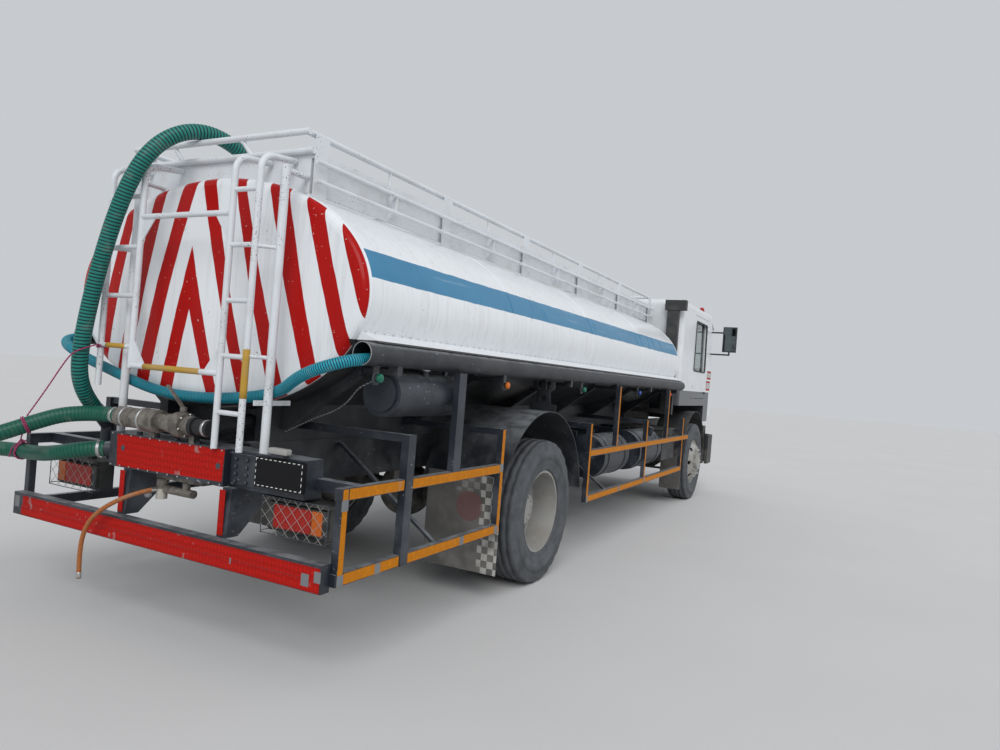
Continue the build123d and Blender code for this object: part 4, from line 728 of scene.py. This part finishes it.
nut_count = 10
nut_angles = np.arange(nut_count) * 2 * pi / nut_count
for hub, x, nut_y, bolt_y in (("rear_wheels", rear_axle_x, 0.946, 1.085),
                              ("front_wheel", front_axle_x, 1.209, 1.249)):
    for side_name, way in both_sides:
        for kind, y, circle, radius, tall in (("nuts", nut_y, 0.1675, 0.019, 0.034),
                                              ("hub_bolts", bolt_y, 0.085, 0.009, 0.008)):
            places = np.stack([x + circle * np.cos(nut_angles), np.full(nut_count, way * y),
                               wheel_z + circle * np.sin(nut_angles)], 1)
            studs(f"{hub}_{side_name}_{kind}", places, (0, way, 0), radius, tall, rim_finish,
                  f"{hub}_{side_name}")


# Rear reflectors: red sheeting with small cells, stuck on the box, its two brackets and the underrun bar. It
# is scuffed, with grey patches; bolts and rivets hold the box together.
def sheeting(name, colour):
    """Reflective sheeting: small cells with darker edges, and grey scuffs in patches."""
    made = Finish(name, 0.6, Specular_IOR_Level=0.15)
    cell_inputs = {"Vector": made.stretch((1, 1, 0.7)), "Scale": 42.0, "Randomness": 0.3}
    cells = made.node("ShaderNodeTexVoronoi", cell_inputs, feature="DISTANCE_TO_EDGE").outputs["Distance"]
    shade = made.mix(made.ramp(cells, 0.02, 0.3), tuple(0.74 * c for c in colour), colour)
    scuffs = made.times(made.ramp(made.noise(18, 5), 0.6, 0.66), made.ramp(made.noise(2.3, 2), 0.52, 0.66))
    shade = made.mix(made.times(scuffs, 0.6), shade, (0.3, 0.29, 0.28))
    return made.done(shade, None, made.bump(cells, 0.2, 0.001))


block_corners = np.array([[i, j, k] for i in (0, 1) for j in (0, 1) for k in (0, 1)])
block_faces = np.array([(0, 1, 3, 2), (4, 6, 7, 5), (0, 4, 5, 1), (2, 3, 7, 6), (0, 2, 6, 4), (1, 5, 7, 3)])


def boxes(name, spans, material, body="chassis", bevel=0.0):
    """Closed blocks, each given by its lowest and highest corner, as one piece."""
    spans = np.array(spans, float)
    points = np.stack([spans[:, :, axis][:, block_corners[:, axis]] for axis in range(3)], -1)
    shift = (np.arange(len(spans)) * len(block_corners))[:, None, None]
    made = piece(name, points, (block_faces[None] + shift).reshape(-1, 4), material)
    if bevel:
        rounding = made.modifiers.new("rounding", "BEVEL")
        rounding.width, rounding.segments = bevel, 2
    return fixed(made, body)


red_tape = sheeting("red_reflective_sheeting", (0.46, 0.008, 0.004))
panel_corners = [(0.391, 1.011), (-0.448, 1.017), (-0.441, 0.855), (0.378, 0.835)]
panel = piece("box_red_panel", [(x, *corner) for x in (-4.4212, -4.4195) for corner in panel_corners],
              [(3, 2, 1, 0), (4, 5, 6, 7), (0, 1, 5, 4), (1, 2, 6, 5), (2, 3, 7, 6), (3, 0, 4, 7)], red_tape)
fixed(panel)
bar_face, tape_sunk = -4.495, 0.001
for name, y_high, z_low, z_high in (("bar_red_upper", 1.099, 0.513, 0.571),
                                    ("bar_red_lower", 1.11, 0.458, 0.5105)):
    boxes(name, [((bar_face - 0.0012, -1.182, z_low), (bar_face + tape_sunk, y_high, z_high))], red_tape)
boxes("box_bolted_plate", [((-4.389, -0.634, 0.846), (-4.379, -0.462, 1.004))], black_paint, bevel=0.003)
bracket_tape = [((-4.441, y - 0.02, 0.595), (-4.4395, y + 0.02, 0.822)) for y in (-0.477, 0.295)]
boxes("bracket_red_strips", bracket_tape, red_tape)
grey_patch = worn_paint("grey_patch", (0.17, 0.18, 0.19), 0.6, dust=0.3, rust=0.0, scratches=0.4)
pale_cover = worn_paint("pale_cover", (0.33, 0.33, 0.31), 0.6, dust=0.4, rust=0.1)
boxes("bar_grey_patches", [((bar_face - 0.0022, y_low, z_low), (bar_face + tape_sunk, y_high, z_high))
                           for y_low, y_high, z_low, z_high in (
    (-1.12, -1.075, 0.478, 0.535), (-1.188, -1.15, 0.505, 0.556), (1.13, 1.175, 0.5, 0.565),
    (-0.63, -0.62, 0.49, 0.52))], grey_patch)
dark_patch = worn_paint("dark_patch", (0.045, 0.055, 0.07), 0.6, dust=0.25, rust=0.0, scratches=0.5)
backwards = (-1, 0, 0)
studs("panel_patches", [(-4.421, 0.335, 0.938), (-4.421, -0.409, 0.931)], backwards, 0.016, 0.002, dark_patch,
      sides=12)
studs("box_face_bolts", [(-4.39, y, z) for y in (-0.5, -0.575) for z in (0.862, 0.9, 0.938, 0.976)],
      backwards, 0.011, 0.009, black_paint)
studs("box_top_bolts", [(-4.395, y, 1.02) for y in (0.24, 0.1, -0.06, -0.22, -0.34)], (0, 0, 1), 0.016, 0.018,
      black_paint)
studs("box_edge_rivets", [(-4.4205, y, z) for z in (0.839, 1.012) for y in np.linspace(-0.43, 0.43, 12)],
      backwards, 0.005, 0.004, steel_finish, sides=8)

# Ladder stay: a flat steel bar on edge, welded to the right post and bolted to the tank's foot, painted with
# the ladders.
boxes("ladder_stay", [((-4.44, -0.642, 1.257), (-4.19, -0.635, 1.283))], ladder_white,
      bevel=0.001)

# Number plate: a blank black plate with a dashed white border, and a small lamp with a grey cover above it.
# Both are fixed to the right end of the box.
plate = Finish("number_plate", 0.5, Specular_IOR_Level=0.15)
plate_y, plate_z = plate.dot((0, 1, 0)), plate.dot((0, 0, 1))
inset = plate.math("MINIMUM", *[
    plate.math("SUBTRACT", half, plate.math("ABSOLUTE", plate.math("SUBTRACT", value, middle)))
    for value, middle, half in ((plate_y, -0.81, 0.1555), (plate_z, 0.938, 0.0725))])
border = between(plate, inset, 0.0055, 0.009, 0.0006)
dash_wave = plate.math("SINE", plate.times(plate.math("ADD", plate_y, plate_z), 2 * pi / 0.03))
plate_finish = plate.done(plate.mix(plate.times(border, plate.ramp(dash_wave, -0.1, 0.1)),
                                    (0.008, 0.008, 0.009), (0.75, 0.75, 0.73)))
boxes("number_plate", [((-4.415, -0.966, 0.865), (-4.3895, -0.655, 1.01))], plate_finish, bevel=0.002)
boxes("plate_lamp", [((-4.425, -0.858, 1.034), (-4.38, -0.738, 1.064))], pale_cover, bevel=0.008)

# Tail lamps: moulded red and amber lenses on black bodies, behind a guard of crossed wires. The guard's
# welded frame stands on four short arms.
def lens_finish(name, colour):
    """Moulded plastic with upright ribs, cloudy by a fifth."""
    made = Finish(name, 0.3, Coat_Weight=0.2, Specular_IOR_Level=0.3)
    ribs = made.math("SINE", made.times(made.dot((0, 1, 0)), 2 * pi / 0.012))
    cloudy = made.mix(made.noise(12), tuple(0.8 * c for c in colour), colour)
    return made.done(cloudy, None, made.bump(ribs, 0.5, 0.002))


red_lens = lens_finish("red_lens", (0.42, 0.015, 0.008))
amber_lens = lens_finish("amber_lens", (0.62, 0.13, 0.01))
for side_name, way in both_sides:
    for colour_name, inner, outer, finish in (("red", 0.725, 0.965, red_lens),
                                              ("amber", 0.97, 1.035, amber_lens)):
        y_low, y_high = sorted((way * inner, way * outer))
        boxes(f"tail_lens_{colour_name}_{side_name}", [((-4.338, y_low, 0.662), (-4.3295, y_high, 0.778))],
              finish, bevel=0.006)


def crossed(y_low, y_high, z_low, z_high, step):
    """Both families of slanted wires that fill a rectangle in Y and Z, clipped to it."""
    found = []
    tall = z_high - z_low
    for start in np.arange(y_low - tall, y_high, step):
        a, b = max(start, y_low), min(start + tall, y_high)
        if b - a > 0.01:
            found.append(((a, z_low + a - start), (b, z_low + b - start)))
            found.append(((a, z_high - a + start), (b, z_high - b + start)))
    return found


mesh_x, frame_x, arm_end_x = -4.358, -4.356, -4.25
guard_zs = (0.632, 0.816)
for side_name, way in both_sides:
    guard_ys = sorted((way * 0.665, way * 1.085))
    mesh_wires = [[(mesh_x + 0.005 * (number % 2), *end) for end in wire]
                  for number, wire in enumerate(crossed(*guard_ys, *guard_zs, 0.07))]
    edge = [[(frame_x, y, z) for y in guard_ys] for z in guard_zs]
    edge += [[(frame_x, y, z) for z in guard_zs] for y in guard_ys]
    edge += [((frame_x, y, z), (arm_end_x, y, z)) for y in guard_ys for z in (0.64, 0.805)]
    wires(f"lamp_guard_{side_name}", mesh_wires, 0.0012, pale_cover)
    wires(f"lamp_guard_frame_{side_name}", edge, 0.0024, dark_patch)

# Marker lamps: domed lenses on round dark plates under the hose tubes, one colour each from rear to front,
# the same on both sides.
def lathe(name, centre, axis, profile, material, body="chassis", sides=20):
    """A turned shape: a closed outline of (distance along the axis, radius) carried round the axis."""
    axis = np.array(axis, float)
    axis /= np.linalg.norm(axis)
    profile = np.array([(profile[0][0], 0), *profile, (profile[-1][0], 0)], float)
    ring = circle_across(axis, sides)
    points = np.array(centre, float) + axis * profile[:, None, :1] + ring[None] * profile[:, None, 1:]
    made = piece(name, points, ring_faces(len(profile), sides), material, smooth=True)
    merged = bmesh.new()
    merged.from_mesh(made.data)
    bmesh.ops.remove_doubles(merged, verts=merged.verts, dist=1e-6)
    merged.to_mesh(made.data)
    merged.free()
    return fixed(made, body)


marker_z = 1.4387
for number, (x, colour_name, colour) in enumerate((
        (-4.16, "green", (0.004, 0.15, 0.085)), (-2.765, "orange", (0.66, 0.16, 0.01)),
        (-1.32, "green", (0.004, 0.15, 0.085)), (0.32, "blue", (0.008, 0.06, 0.36)),
        (1.61, "red", (0.42, 0.006, 0.006)))):
    marker_lens = lens_finish(f"marker_{number}_{colour_name}", colour)
    for side_name, way in both_sides:
        lathe(f"marker_plate_{number}_{side_name}", (x, way * 1.1532, marker_z), (0, way, 0),
              ((0, 0.033), (0.002, 0.034), (0.004, 0.032)), dark_patch, sides=24)
        lathe(f"marker_lens_{number}_{side_name}", (x, way * 1.172, marker_z), (0, way, 0),
              ((0, 0.0235), (0.008, 0.0235), (0.016, 0.019), (0.02, 0.01), (0.021, 0.002)), marker_lens)

# Discharge and drain fittings: zinc-plated worm-drive clamps and flange bolts on the valve, a pale knob on
# the drain's end and a cap on the small drum.
valve_x, valve_z, clamp_edge = -4.425, 1.112, 0.003
for name, y, radius in (("hose", 0.304, 0.0572), ("body", 0.152, 0.064), ("end", -0.325, 0.044)):
    lathe(f"valve_clamp_{name}", (valve_x, y, valve_z), (0, 1, 0),
          ((0, radius - clamp_edge), (0.001, radius), (0.017, radius), (0.018, radius - clamp_edge)),
          steel_finish, sides=28)
bolt_circle, bolt_turn = 0.057, np.arange(6) * pi / 3 + 0.3
for side_name, y, way in (("left", -0.095, 1), ("right", -0.165, -1)):
    places = np.stack([valve_x + bolt_circle * np.cos(bolt_turn), np.full(6, y),
                       valve_z + bolt_circle * np.sin(bolt_turn)], 1)
    studs(f"valve_bolts_{side_name}", places, (0, way, 0), 0.007, 0.008, steel_finish)
lathe("drain_knob", (-4.415, 0.106, 0.716), (-0.3, 0.2, -1),
      ((-0.018, 0.006), (-0.012, 0.016), (0.004, 0.021), (0.018, 0.014), (0.022, 0.004)), tube_lip)
lathe("wash_tank_cap", (-3.665, -1.11, 1.49), (0, 0, 1),
      ((0, 0.026), (0.002, 0.03), (0.014, 0.03), (0.018, 0.026)), steel_finish)

# Mudflaps: dusty rubber sheets. The right rear one has a strip of black and white checks, the same checks but
# faint across its top, and a faded red disc.
flap = Finish("mudflap_rubber", 0.8)
flap_colour, _ = weather(flap, (0.05, 0.049, 0.048), dust=0.55, rust=0.0, low=0.0, high=0.9)
flap_colour = flap.mix(0.3, flap_colour, (0.22, 0.21, 0.195))
flap_x, flap_y, flap_z = flap.axes()
cells = [flap.math("FLOOR", flap.math("DIVIDE", value, 0.046)) for value in (flap_y, flap_z)]
white_cell = flap.math("FLOORED_MODULO", flap.math("ADD", *cells), 2.0)
at_rear = flap.ramp(flap_x, -2.7, -2.6, 1.0, 0.0)
check_strip = flap.times(flap.ramp(flap_y, -1.0705, -1.0695, 1.0, 0.0), at_rear)
faint_checks = flap.times(flap.ramp(flap_y, -0.9, -0.86, 0.3, 0.0), at_rear, flap.ramp(flap_z, 0.71, 0.712))
check_share = flap.times(white_cell, flap.math("MAXIMUM", check_strip, faint_checks),
                         flap.ramp(flap.noise(9, 4), 0.3, 0.55, 0.3, 0.8))
flap_colour = flap.mix(check_share, flap_colour, (0.5, 0.49, 0.46))
disc_place = flap.node("ShaderNodeCombineXYZ", {1: flap.math("ADD", flap_y, 0.986),
                                                2: flap.math("SUBTRACT", flap_z, 0.617)}).outputs[0]
from_disc = flap.node("ShaderNodeVectorMath", {0: disc_place}, operation="LENGTH").outputs["Value"]
disc_share = flap.times(flap.ramp(from_disc, 0.098, 0.101, 1.0, 0.0), flap.ramp(flap_x, -2.7, -2.6, 0.7, 0.0))
dress(flap.done(flap.mix(disc_share, flap_colour, (0.17, 0.072, 0.066))), "mudflaps")

# Cab: pressed-steel shell and doors in white enamel with a dark sill, grey trim panels inside, and glass with
# a slight green tint.
cab = Finish("cab_enamel", 0.28, Coat_Weight=0.2, Coat_Roughness=0.2)
cab_x, cab_y, cab_z = cab.axes()
cab_colour = cab.mix(cab.noise(2.2, 3), (0.66, 0.685, 0.71), (0.76, 0.78, 0.8))
cab_colour, _ = weather(cab, cab_colour, dust=0.3, rust=0.04, dust_colour=(0.4, 0.38, 0.34), low=0.9,
                        high=2.2)
screen_foot_x, screen_foot_z, screen_lean = 4.405, 1.74, 0.26842
indoors = cab.times(
    cab.ramp(cab.math("ABSOLUTE", cab_y), 1.0565, 1.0575, 1.0, 0.0),
    between(cab, cab_z, 1.335, 2.6465, 0.0005), cab.ramp(cab_x, 2.3835, 2.3845),
    cab.ramp(cab.math("MULTIPLY_ADD", cab_z, screen_lean, cab_x), 4.825, 4.829, 1.0, 0.0))
sill = cab.times(cab.ramp(cab_z, 1.5, 1.502, 1.0, 0.0), cab.ramp(cab_x, 4.28, 4.3, 1.0, 0.0))
cab_colour = cab.mix(sill, cab_colour, cab.mix(cab.noise(8, 4), (0.02, 0.023, 0.028), (0.052, 0.058, 0.066)))
trim = cab.mix(cab.noise(30, 3), (0.2, 0.205, 0.21), (0.25, 0.25, 0.25))
cab_white = cab.done(cab.mix(indoors, cab_colour, trim), cab.ramp(indoors, 0, 1, 0.32, 0.85),
                     cab.bump(cab.noise(160, 2), 0.1, 0.0007))
dress(cab_white, "cab_shell", "door_left", "door_right", "sun_visor")
glass = Finish("tinted_glass", 0.04, Transmission_Weight=1.0, IOR=1.45)
glass_finish = glass.done(glass.mix(glass.noise(2), (0.5, 0.57, 0.56), (0.56, 0.62, 0.61)))
dress(glass_finish, "cab_glass", "door_glass_left", "door_glass_right")


# Window seals: black rubber cords pressed round the windscreen, the rear window, and the door windows on both
# faces of the door.
def seal(name, corners, body, radius=0.011, reach=0.045):
    """A black rubber seal: a closed cord round a window's opening, with rounded corners."""
    corners = np.array(corners, float)
    ring = []
    for before, corner, after in zip(np.roll(corners, 1, 0), corners, np.roll(corners, -1, 0)):
        start = corner + (before - corner) / np.linalg.norm(before - corner) * reach
        end = corner + (after - corner) / np.linalg.norm(after - corner) * reach
        share = np.linspace(0, 1, 6)[:, None]
        ring.append(start * (1 - share) ** 2 + 2 * corner * share * (1 - share) + end * share ** 2)
    ring = np.concatenate([*ring, ring[0][:1]])
    made = tube(name, spaced(ring, 0.02)[0], radius, rubber_finish, 8)
    return fixed(made, body)


def screen_x(z, out=0.0):
    """X of the windscreen's outer plane at one height."""
    return screen_foot_x - screen_lean * (z - screen_foot_z) + out


seal("windscreen_seal", [(screen_x(z, 0.001), y, z) for y, z in (
    (-0.96, 1.79), (0.96, 1.79), (0.96, 2.47), (-0.96, 2.47))], "cab", 0.014)
seal("rear_window_seal", [(2.3395, y, z) for y, z in (
    (-0.6, 1.95), (0.6, 1.95), (0.6, 2.45), (-0.6, 2.45))], "cab")
window_corners = ((3.12, 1.79), (3.12, 2.48), (3.82, 2.48), (3.875, 1.79))
for side_name, way in both_sides:
    for face, y, radius in (("window", 1.1005, 0.011), ("inner", 1.048, 0.008)):
        seal(f"door_{face}_seal_{side_name}", [(x, way * y, z) for x, z in window_corners],
             f"door_{side_name}", radius)

# Wipers: two black arms, each turning on a pivot at the windscreen's foot and pressing a rubber blade on the
# glass.
for number, y in enumerate((-0.78, 0.02)):
    pivot = np.array((screen_x(1.765, 0.03), y, 1.765))
    elbow = np.array((screen_x(1.9, 0.035), y + 0.38, 1.9))
    blade = (elbow - (-0.004, 0.33, 0.075), elbow + np.array((0, 0.26, 0.03)) - (-0.004, 0, -0.02))
    wires(f"wiper_arm_{number}", [(pivot, elbow), (pivot - (0.03, 0, 0), pivot)], 0.007, plastic_finish,
          "cab", 8)
    wires(f"wiper_blade_{number}", [blade], 0.006, rubber_finish, "cab", 6)
    lathe(f"wiper_pivot_{number}", pivot - (0.035, 0, 0), (1, 0, 0.27),
          ((0, 0.018), (0.036, 0.018), (0.042, 0.012)), plastic_finish, "cab")

# Front lamps: two round fluted lenses a side in the bumper's pods, and an amber indicator outside them, all
# of moulded plastic.
clear = Finish("clear_lens", 0.06, 0.0, Coat_Weight=0.8)
clear_fluting = clear.math("SINE", clear.times(clear.dot((0, 1, 0)), 2 * pi / 0.009))
clear_lens = clear.done(clear.mix(clear.noise(9), (0.5, 0.52, 0.54), (0.72, 0.74, 0.76)), None,
                        clear.bump(clear_fluting, 0.4, 0.002))
for side_name, way in both_sides:
    for number, y in enumerate((0.76, 0.91)):
        lathe(f"headlamp_lens_{side_name}_{number}", (4.4875, way * y, 0.62), (1, 0, 0),
              ((0, 0.0645), (0.002, 0.0645), (0.0045, 0.056), (0.0065, 0.036), (0.007, 0.008)), clear_lens,
              sides=32)
    y_low, y_high = sorted((way * 0.978, way * 1.004))
    boxes(f"indicator_{side_name}", [((4.4828, y_low, 0.552), (4.4905, y_high, 0.688))], amber_lens,
          bevel=0.005)

# Warning labels: white sheeting cut small and stuck on red, low on the cab's front corners, two on each side
# of the cab.
white_tape = sheeting("white_reflective_sheeting", (0.6, 0.6, 0.59))
label_spans = [((4.08, 1.7), (4.36, 1.825)), ((4.05, 1.53), (4.33, 1.672))]
for side_name, way in both_sides:
    for label, tape, trim, inner, outer in (("red", red_tape, 0.0, 1.099, 1.1012),
                                            ("white", white_tape, 0.026, 1.1005, 1.1018)):
        y_low, y_high = sorted((way * inner, way * outer))
        boxes(f"corner_label_{label}_{side_name}",
              [((x_low + trim / 2, y_low, z_low + trim), (x_high - trim / 2, y_high, z_high - trim))
               for (x_low, z_low), (x_high, z_high) in label_spans], tape, "cab")

# Mirror glasses and roof lamps: silvered flat glass on the mirrors' rear faces, and a domed red lamp on each
# side of the roof.
mirror_glass = Finish("mirror_glass", 0.04, 1.0).done((0.13, 0.155, 0.16))
for side_name, way in both_sides:
    y_low, y_high = sorted((way * 1.285, way * 1.455))
    boxes(f"mirror_glass_{side_name}", [((4.1885, y_low, 2.145), (4.1905, y_high, 2.495))], mirror_glass,
          "cab")
roof_lens = lens_finish("roof_lamp_red", (0.42, 0.006, 0.006))
for side_name, way in both_sides:
    lathe(f"roof_lamp_{side_name}", (3.84, way * 1.0, 2.684), (0, 0, 1),
          ((0, 0.038), (0.04, 0.036), (0.056, 0.031), (0.068, 0.019), (0.073, 0.004)), roof_lens, "cab",
          24)

# Dials: three round instruments with dark faces and pale marks, set in the dashboard behind the steering
# wheel.
dial = Finish("dial_face", 0.35)
dial_ring = dial.math("SINE", dial.times(dial.noise(60), 20))
dial_finish = dial.done(dial.mix(dial.ramp(dial_ring, 0.6, 0.8), (0.012, 0.012, 0.013), (0.3, 0.3, 0.28)))
for number, y in enumerate((0.4, 0.54, 0.68)):
    lathe(f"dashboard_dial_{number}", (3.9695, y, 1.762), (-1, 0, -0.166),
          ((0, 0.055), (0.004, 0.055), (0.006, 0.05), (0.002, 0.046)), dial_finish, "cab",
          28)

# Seats: foam cushions and backs under woven cloth, each pair on a plain box that is bolted to the cab's
# floor.
seat_cloth = Finish("seat_cloth", 0.9)
weave = seat_cloth.times(*[seat_cloth.math("SINE", seat_cloth.times(seat_cloth.dot(across), 900))
                           for across in ((1, 0, 1), (0, 1, 0))])
seat_colour = seat_cloth.mix(seat_cloth.noise(14), (0.04, 0.042, 0.048), (0.07, 0.072, 0.08))
seat_finish = seat_cloth.done(seat_colour, None, seat_cloth.bump(weave, 0.3, 0.0015))


def pad(name, low, high, cap):
    """A cushion: a rounded block, voxel-remeshed, blown up a little by a cloth simulation, smoothed once."""
    low, high = np.array(low, float), np.array(high, float)
    made = piece(name, np.where(block_corners, high, low), block_faces, seat_finish, True)
    bpy.context.view_layer.objects.active = made
    rounding = made.modifiers.new("rounding", "BEVEL")
    rounding.width, rounding.segments = 0.03, 4
    bpy.ops.object.modifier_apply(modifier="rounding")
    voxels = made.modifiers.new("voxels", "REMESH")
    voxels.mode, voxels.voxel_size = "VOXEL", 0.01
    bpy.ops.object.modifier_apply(modifier="voxels")
    rest = np.empty(len(made.data.vertices) * 3)
    made.data.vertices.foreach_get("co", rest)
    cloth = made.modifiers.new("cloth", "CLOTH")
    cloth.settings.use_pressure = True
    cloth.settings.uniform_pressure_force = 4
    cloth.settings.effector_weights.gravity = 0
    for frame_number in range(1, 21):
        scene.frame_set(frame_number)
    blown = made.evaluated_get(bpy.context.evaluated_depsgraph_get()).data
    moved = np.empty(len(rest))
    blown.vertices.foreach_get("co", moved)
    made.modifiers.remove(cloth)
    scene.frame_set(1)
    shift = (moved - rest).reshape(-1, 3)
    reach = np.linalg.norm(shift, axis=1, keepdims=True)
    placed = rest.reshape(-1, 3) + shift * np.minimum(1, cap / np.maximum(reach, 1e-9))
    made.data.vertices.foreach_set("co", np.clip(placed, low - cap, high + cap).ravel())
    finer = made.modifiers.new("finer", "SUBSURF")
    finer.levels = finer.render_levels = 1
    bpy.ops.object.modifier_apply(modifier="finer")
    made.data.polygons.foreach_set("use_smooth", np.full(len(made.data.polygons), True))
    fixed(made, "cab")
    return made


seat_parts = []
for side_name, (y_low, y_high) in (("right", (-0.895, -0.385)), ("left", (0.385, 0.895))):
    seat_parts += [pad(f"seat_cushion_{side_name}", (2.846, y_low, 1.626), (3.355, y_high, 1.75), 0.01),
                   pad(f"seat_back_{side_name}", (2.726, y_low, 1.646), (2.834, y_high, 2.292), 0.008)]
    middle, half_box = (y_low + y_high) / 2, 0.2
    boxes(f"seat_box_{side_name}", [((2.85, middle - half_box, 1.3455), (3.3, middle + half_box, 1.6205))],
          plastic_finish, "cab", 0.004)
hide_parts("seats")

# Guard sheeting: amber reflective tape along the side guards' bars and up their posts, on the outer face,
# with grey patches where it is mended.
amber_tape = sheeting("amber_reflective_sheeting", (0.66, 0.225, 0.004))
guard_face = 1.22
strips = []
for way in (-1, 1):
    for x_low, x_high, z_low, z_high in (
            (-4.378, -3.942, 0.874, 0.924), (-3.862, -2.866, 0.874, 0.924), (-4.378, -3.942, 0.483, 0.533),
            (-3.862, -2.866, 0.483, 0.533), (-4.4225, -4.3865, 0.484, 0.924), (-2.857, -2.823, 0.484, 1.15),
            (-1.158, 0.543, 0.876, 0.922), (0.587, 2.208, 0.876, 0.922), (2.252, 2.54, 0.876, 0.922),
            (-1.158, 0.543, 0.484, 0.532), (0.587, 2.208, 0.484, 0.532), (-1.197, -1.163, 0.484, 1.15),
            (0.549, 0.581, 0.484, 1.15), (2.214, 2.246, 0.484, 1.15), (-0.463, -0.44, 0.93, 1.485),
            (1.417, 1.44, 0.93, 1.485)):
        y_low, y_high = sorted((way * (guard_face - 0.001), way * (guard_face + 0.0012)))
        strips.append(((x_low, y_low, z_low), (x_high, y_high, z_high)))
boxes("guard_amber_sheeting", strips, amber_tape)
patch_half = np.array((0.022, 0, 0.026))
patches = []
for way in (-1, 1):
    y_low, y_high = sorted((way * 1.219, way * 1.2222))
    patches += [(np.array((x, y_low, z)) - patch_half, np.array((x, y_high, z)) + patch_half) for x, z in (
        (-4.405, 0.85), (-4.402, 0.505), (-4.12, 0.506), (-3.3, 0.507), (-2.862, 0.505), (-2.845, 0.905),
        (-1.176, 0.505), (0.566, 0.505), (-0.3, 0.51))]
boxes("guard_grey_patches", patches, grey_patch)
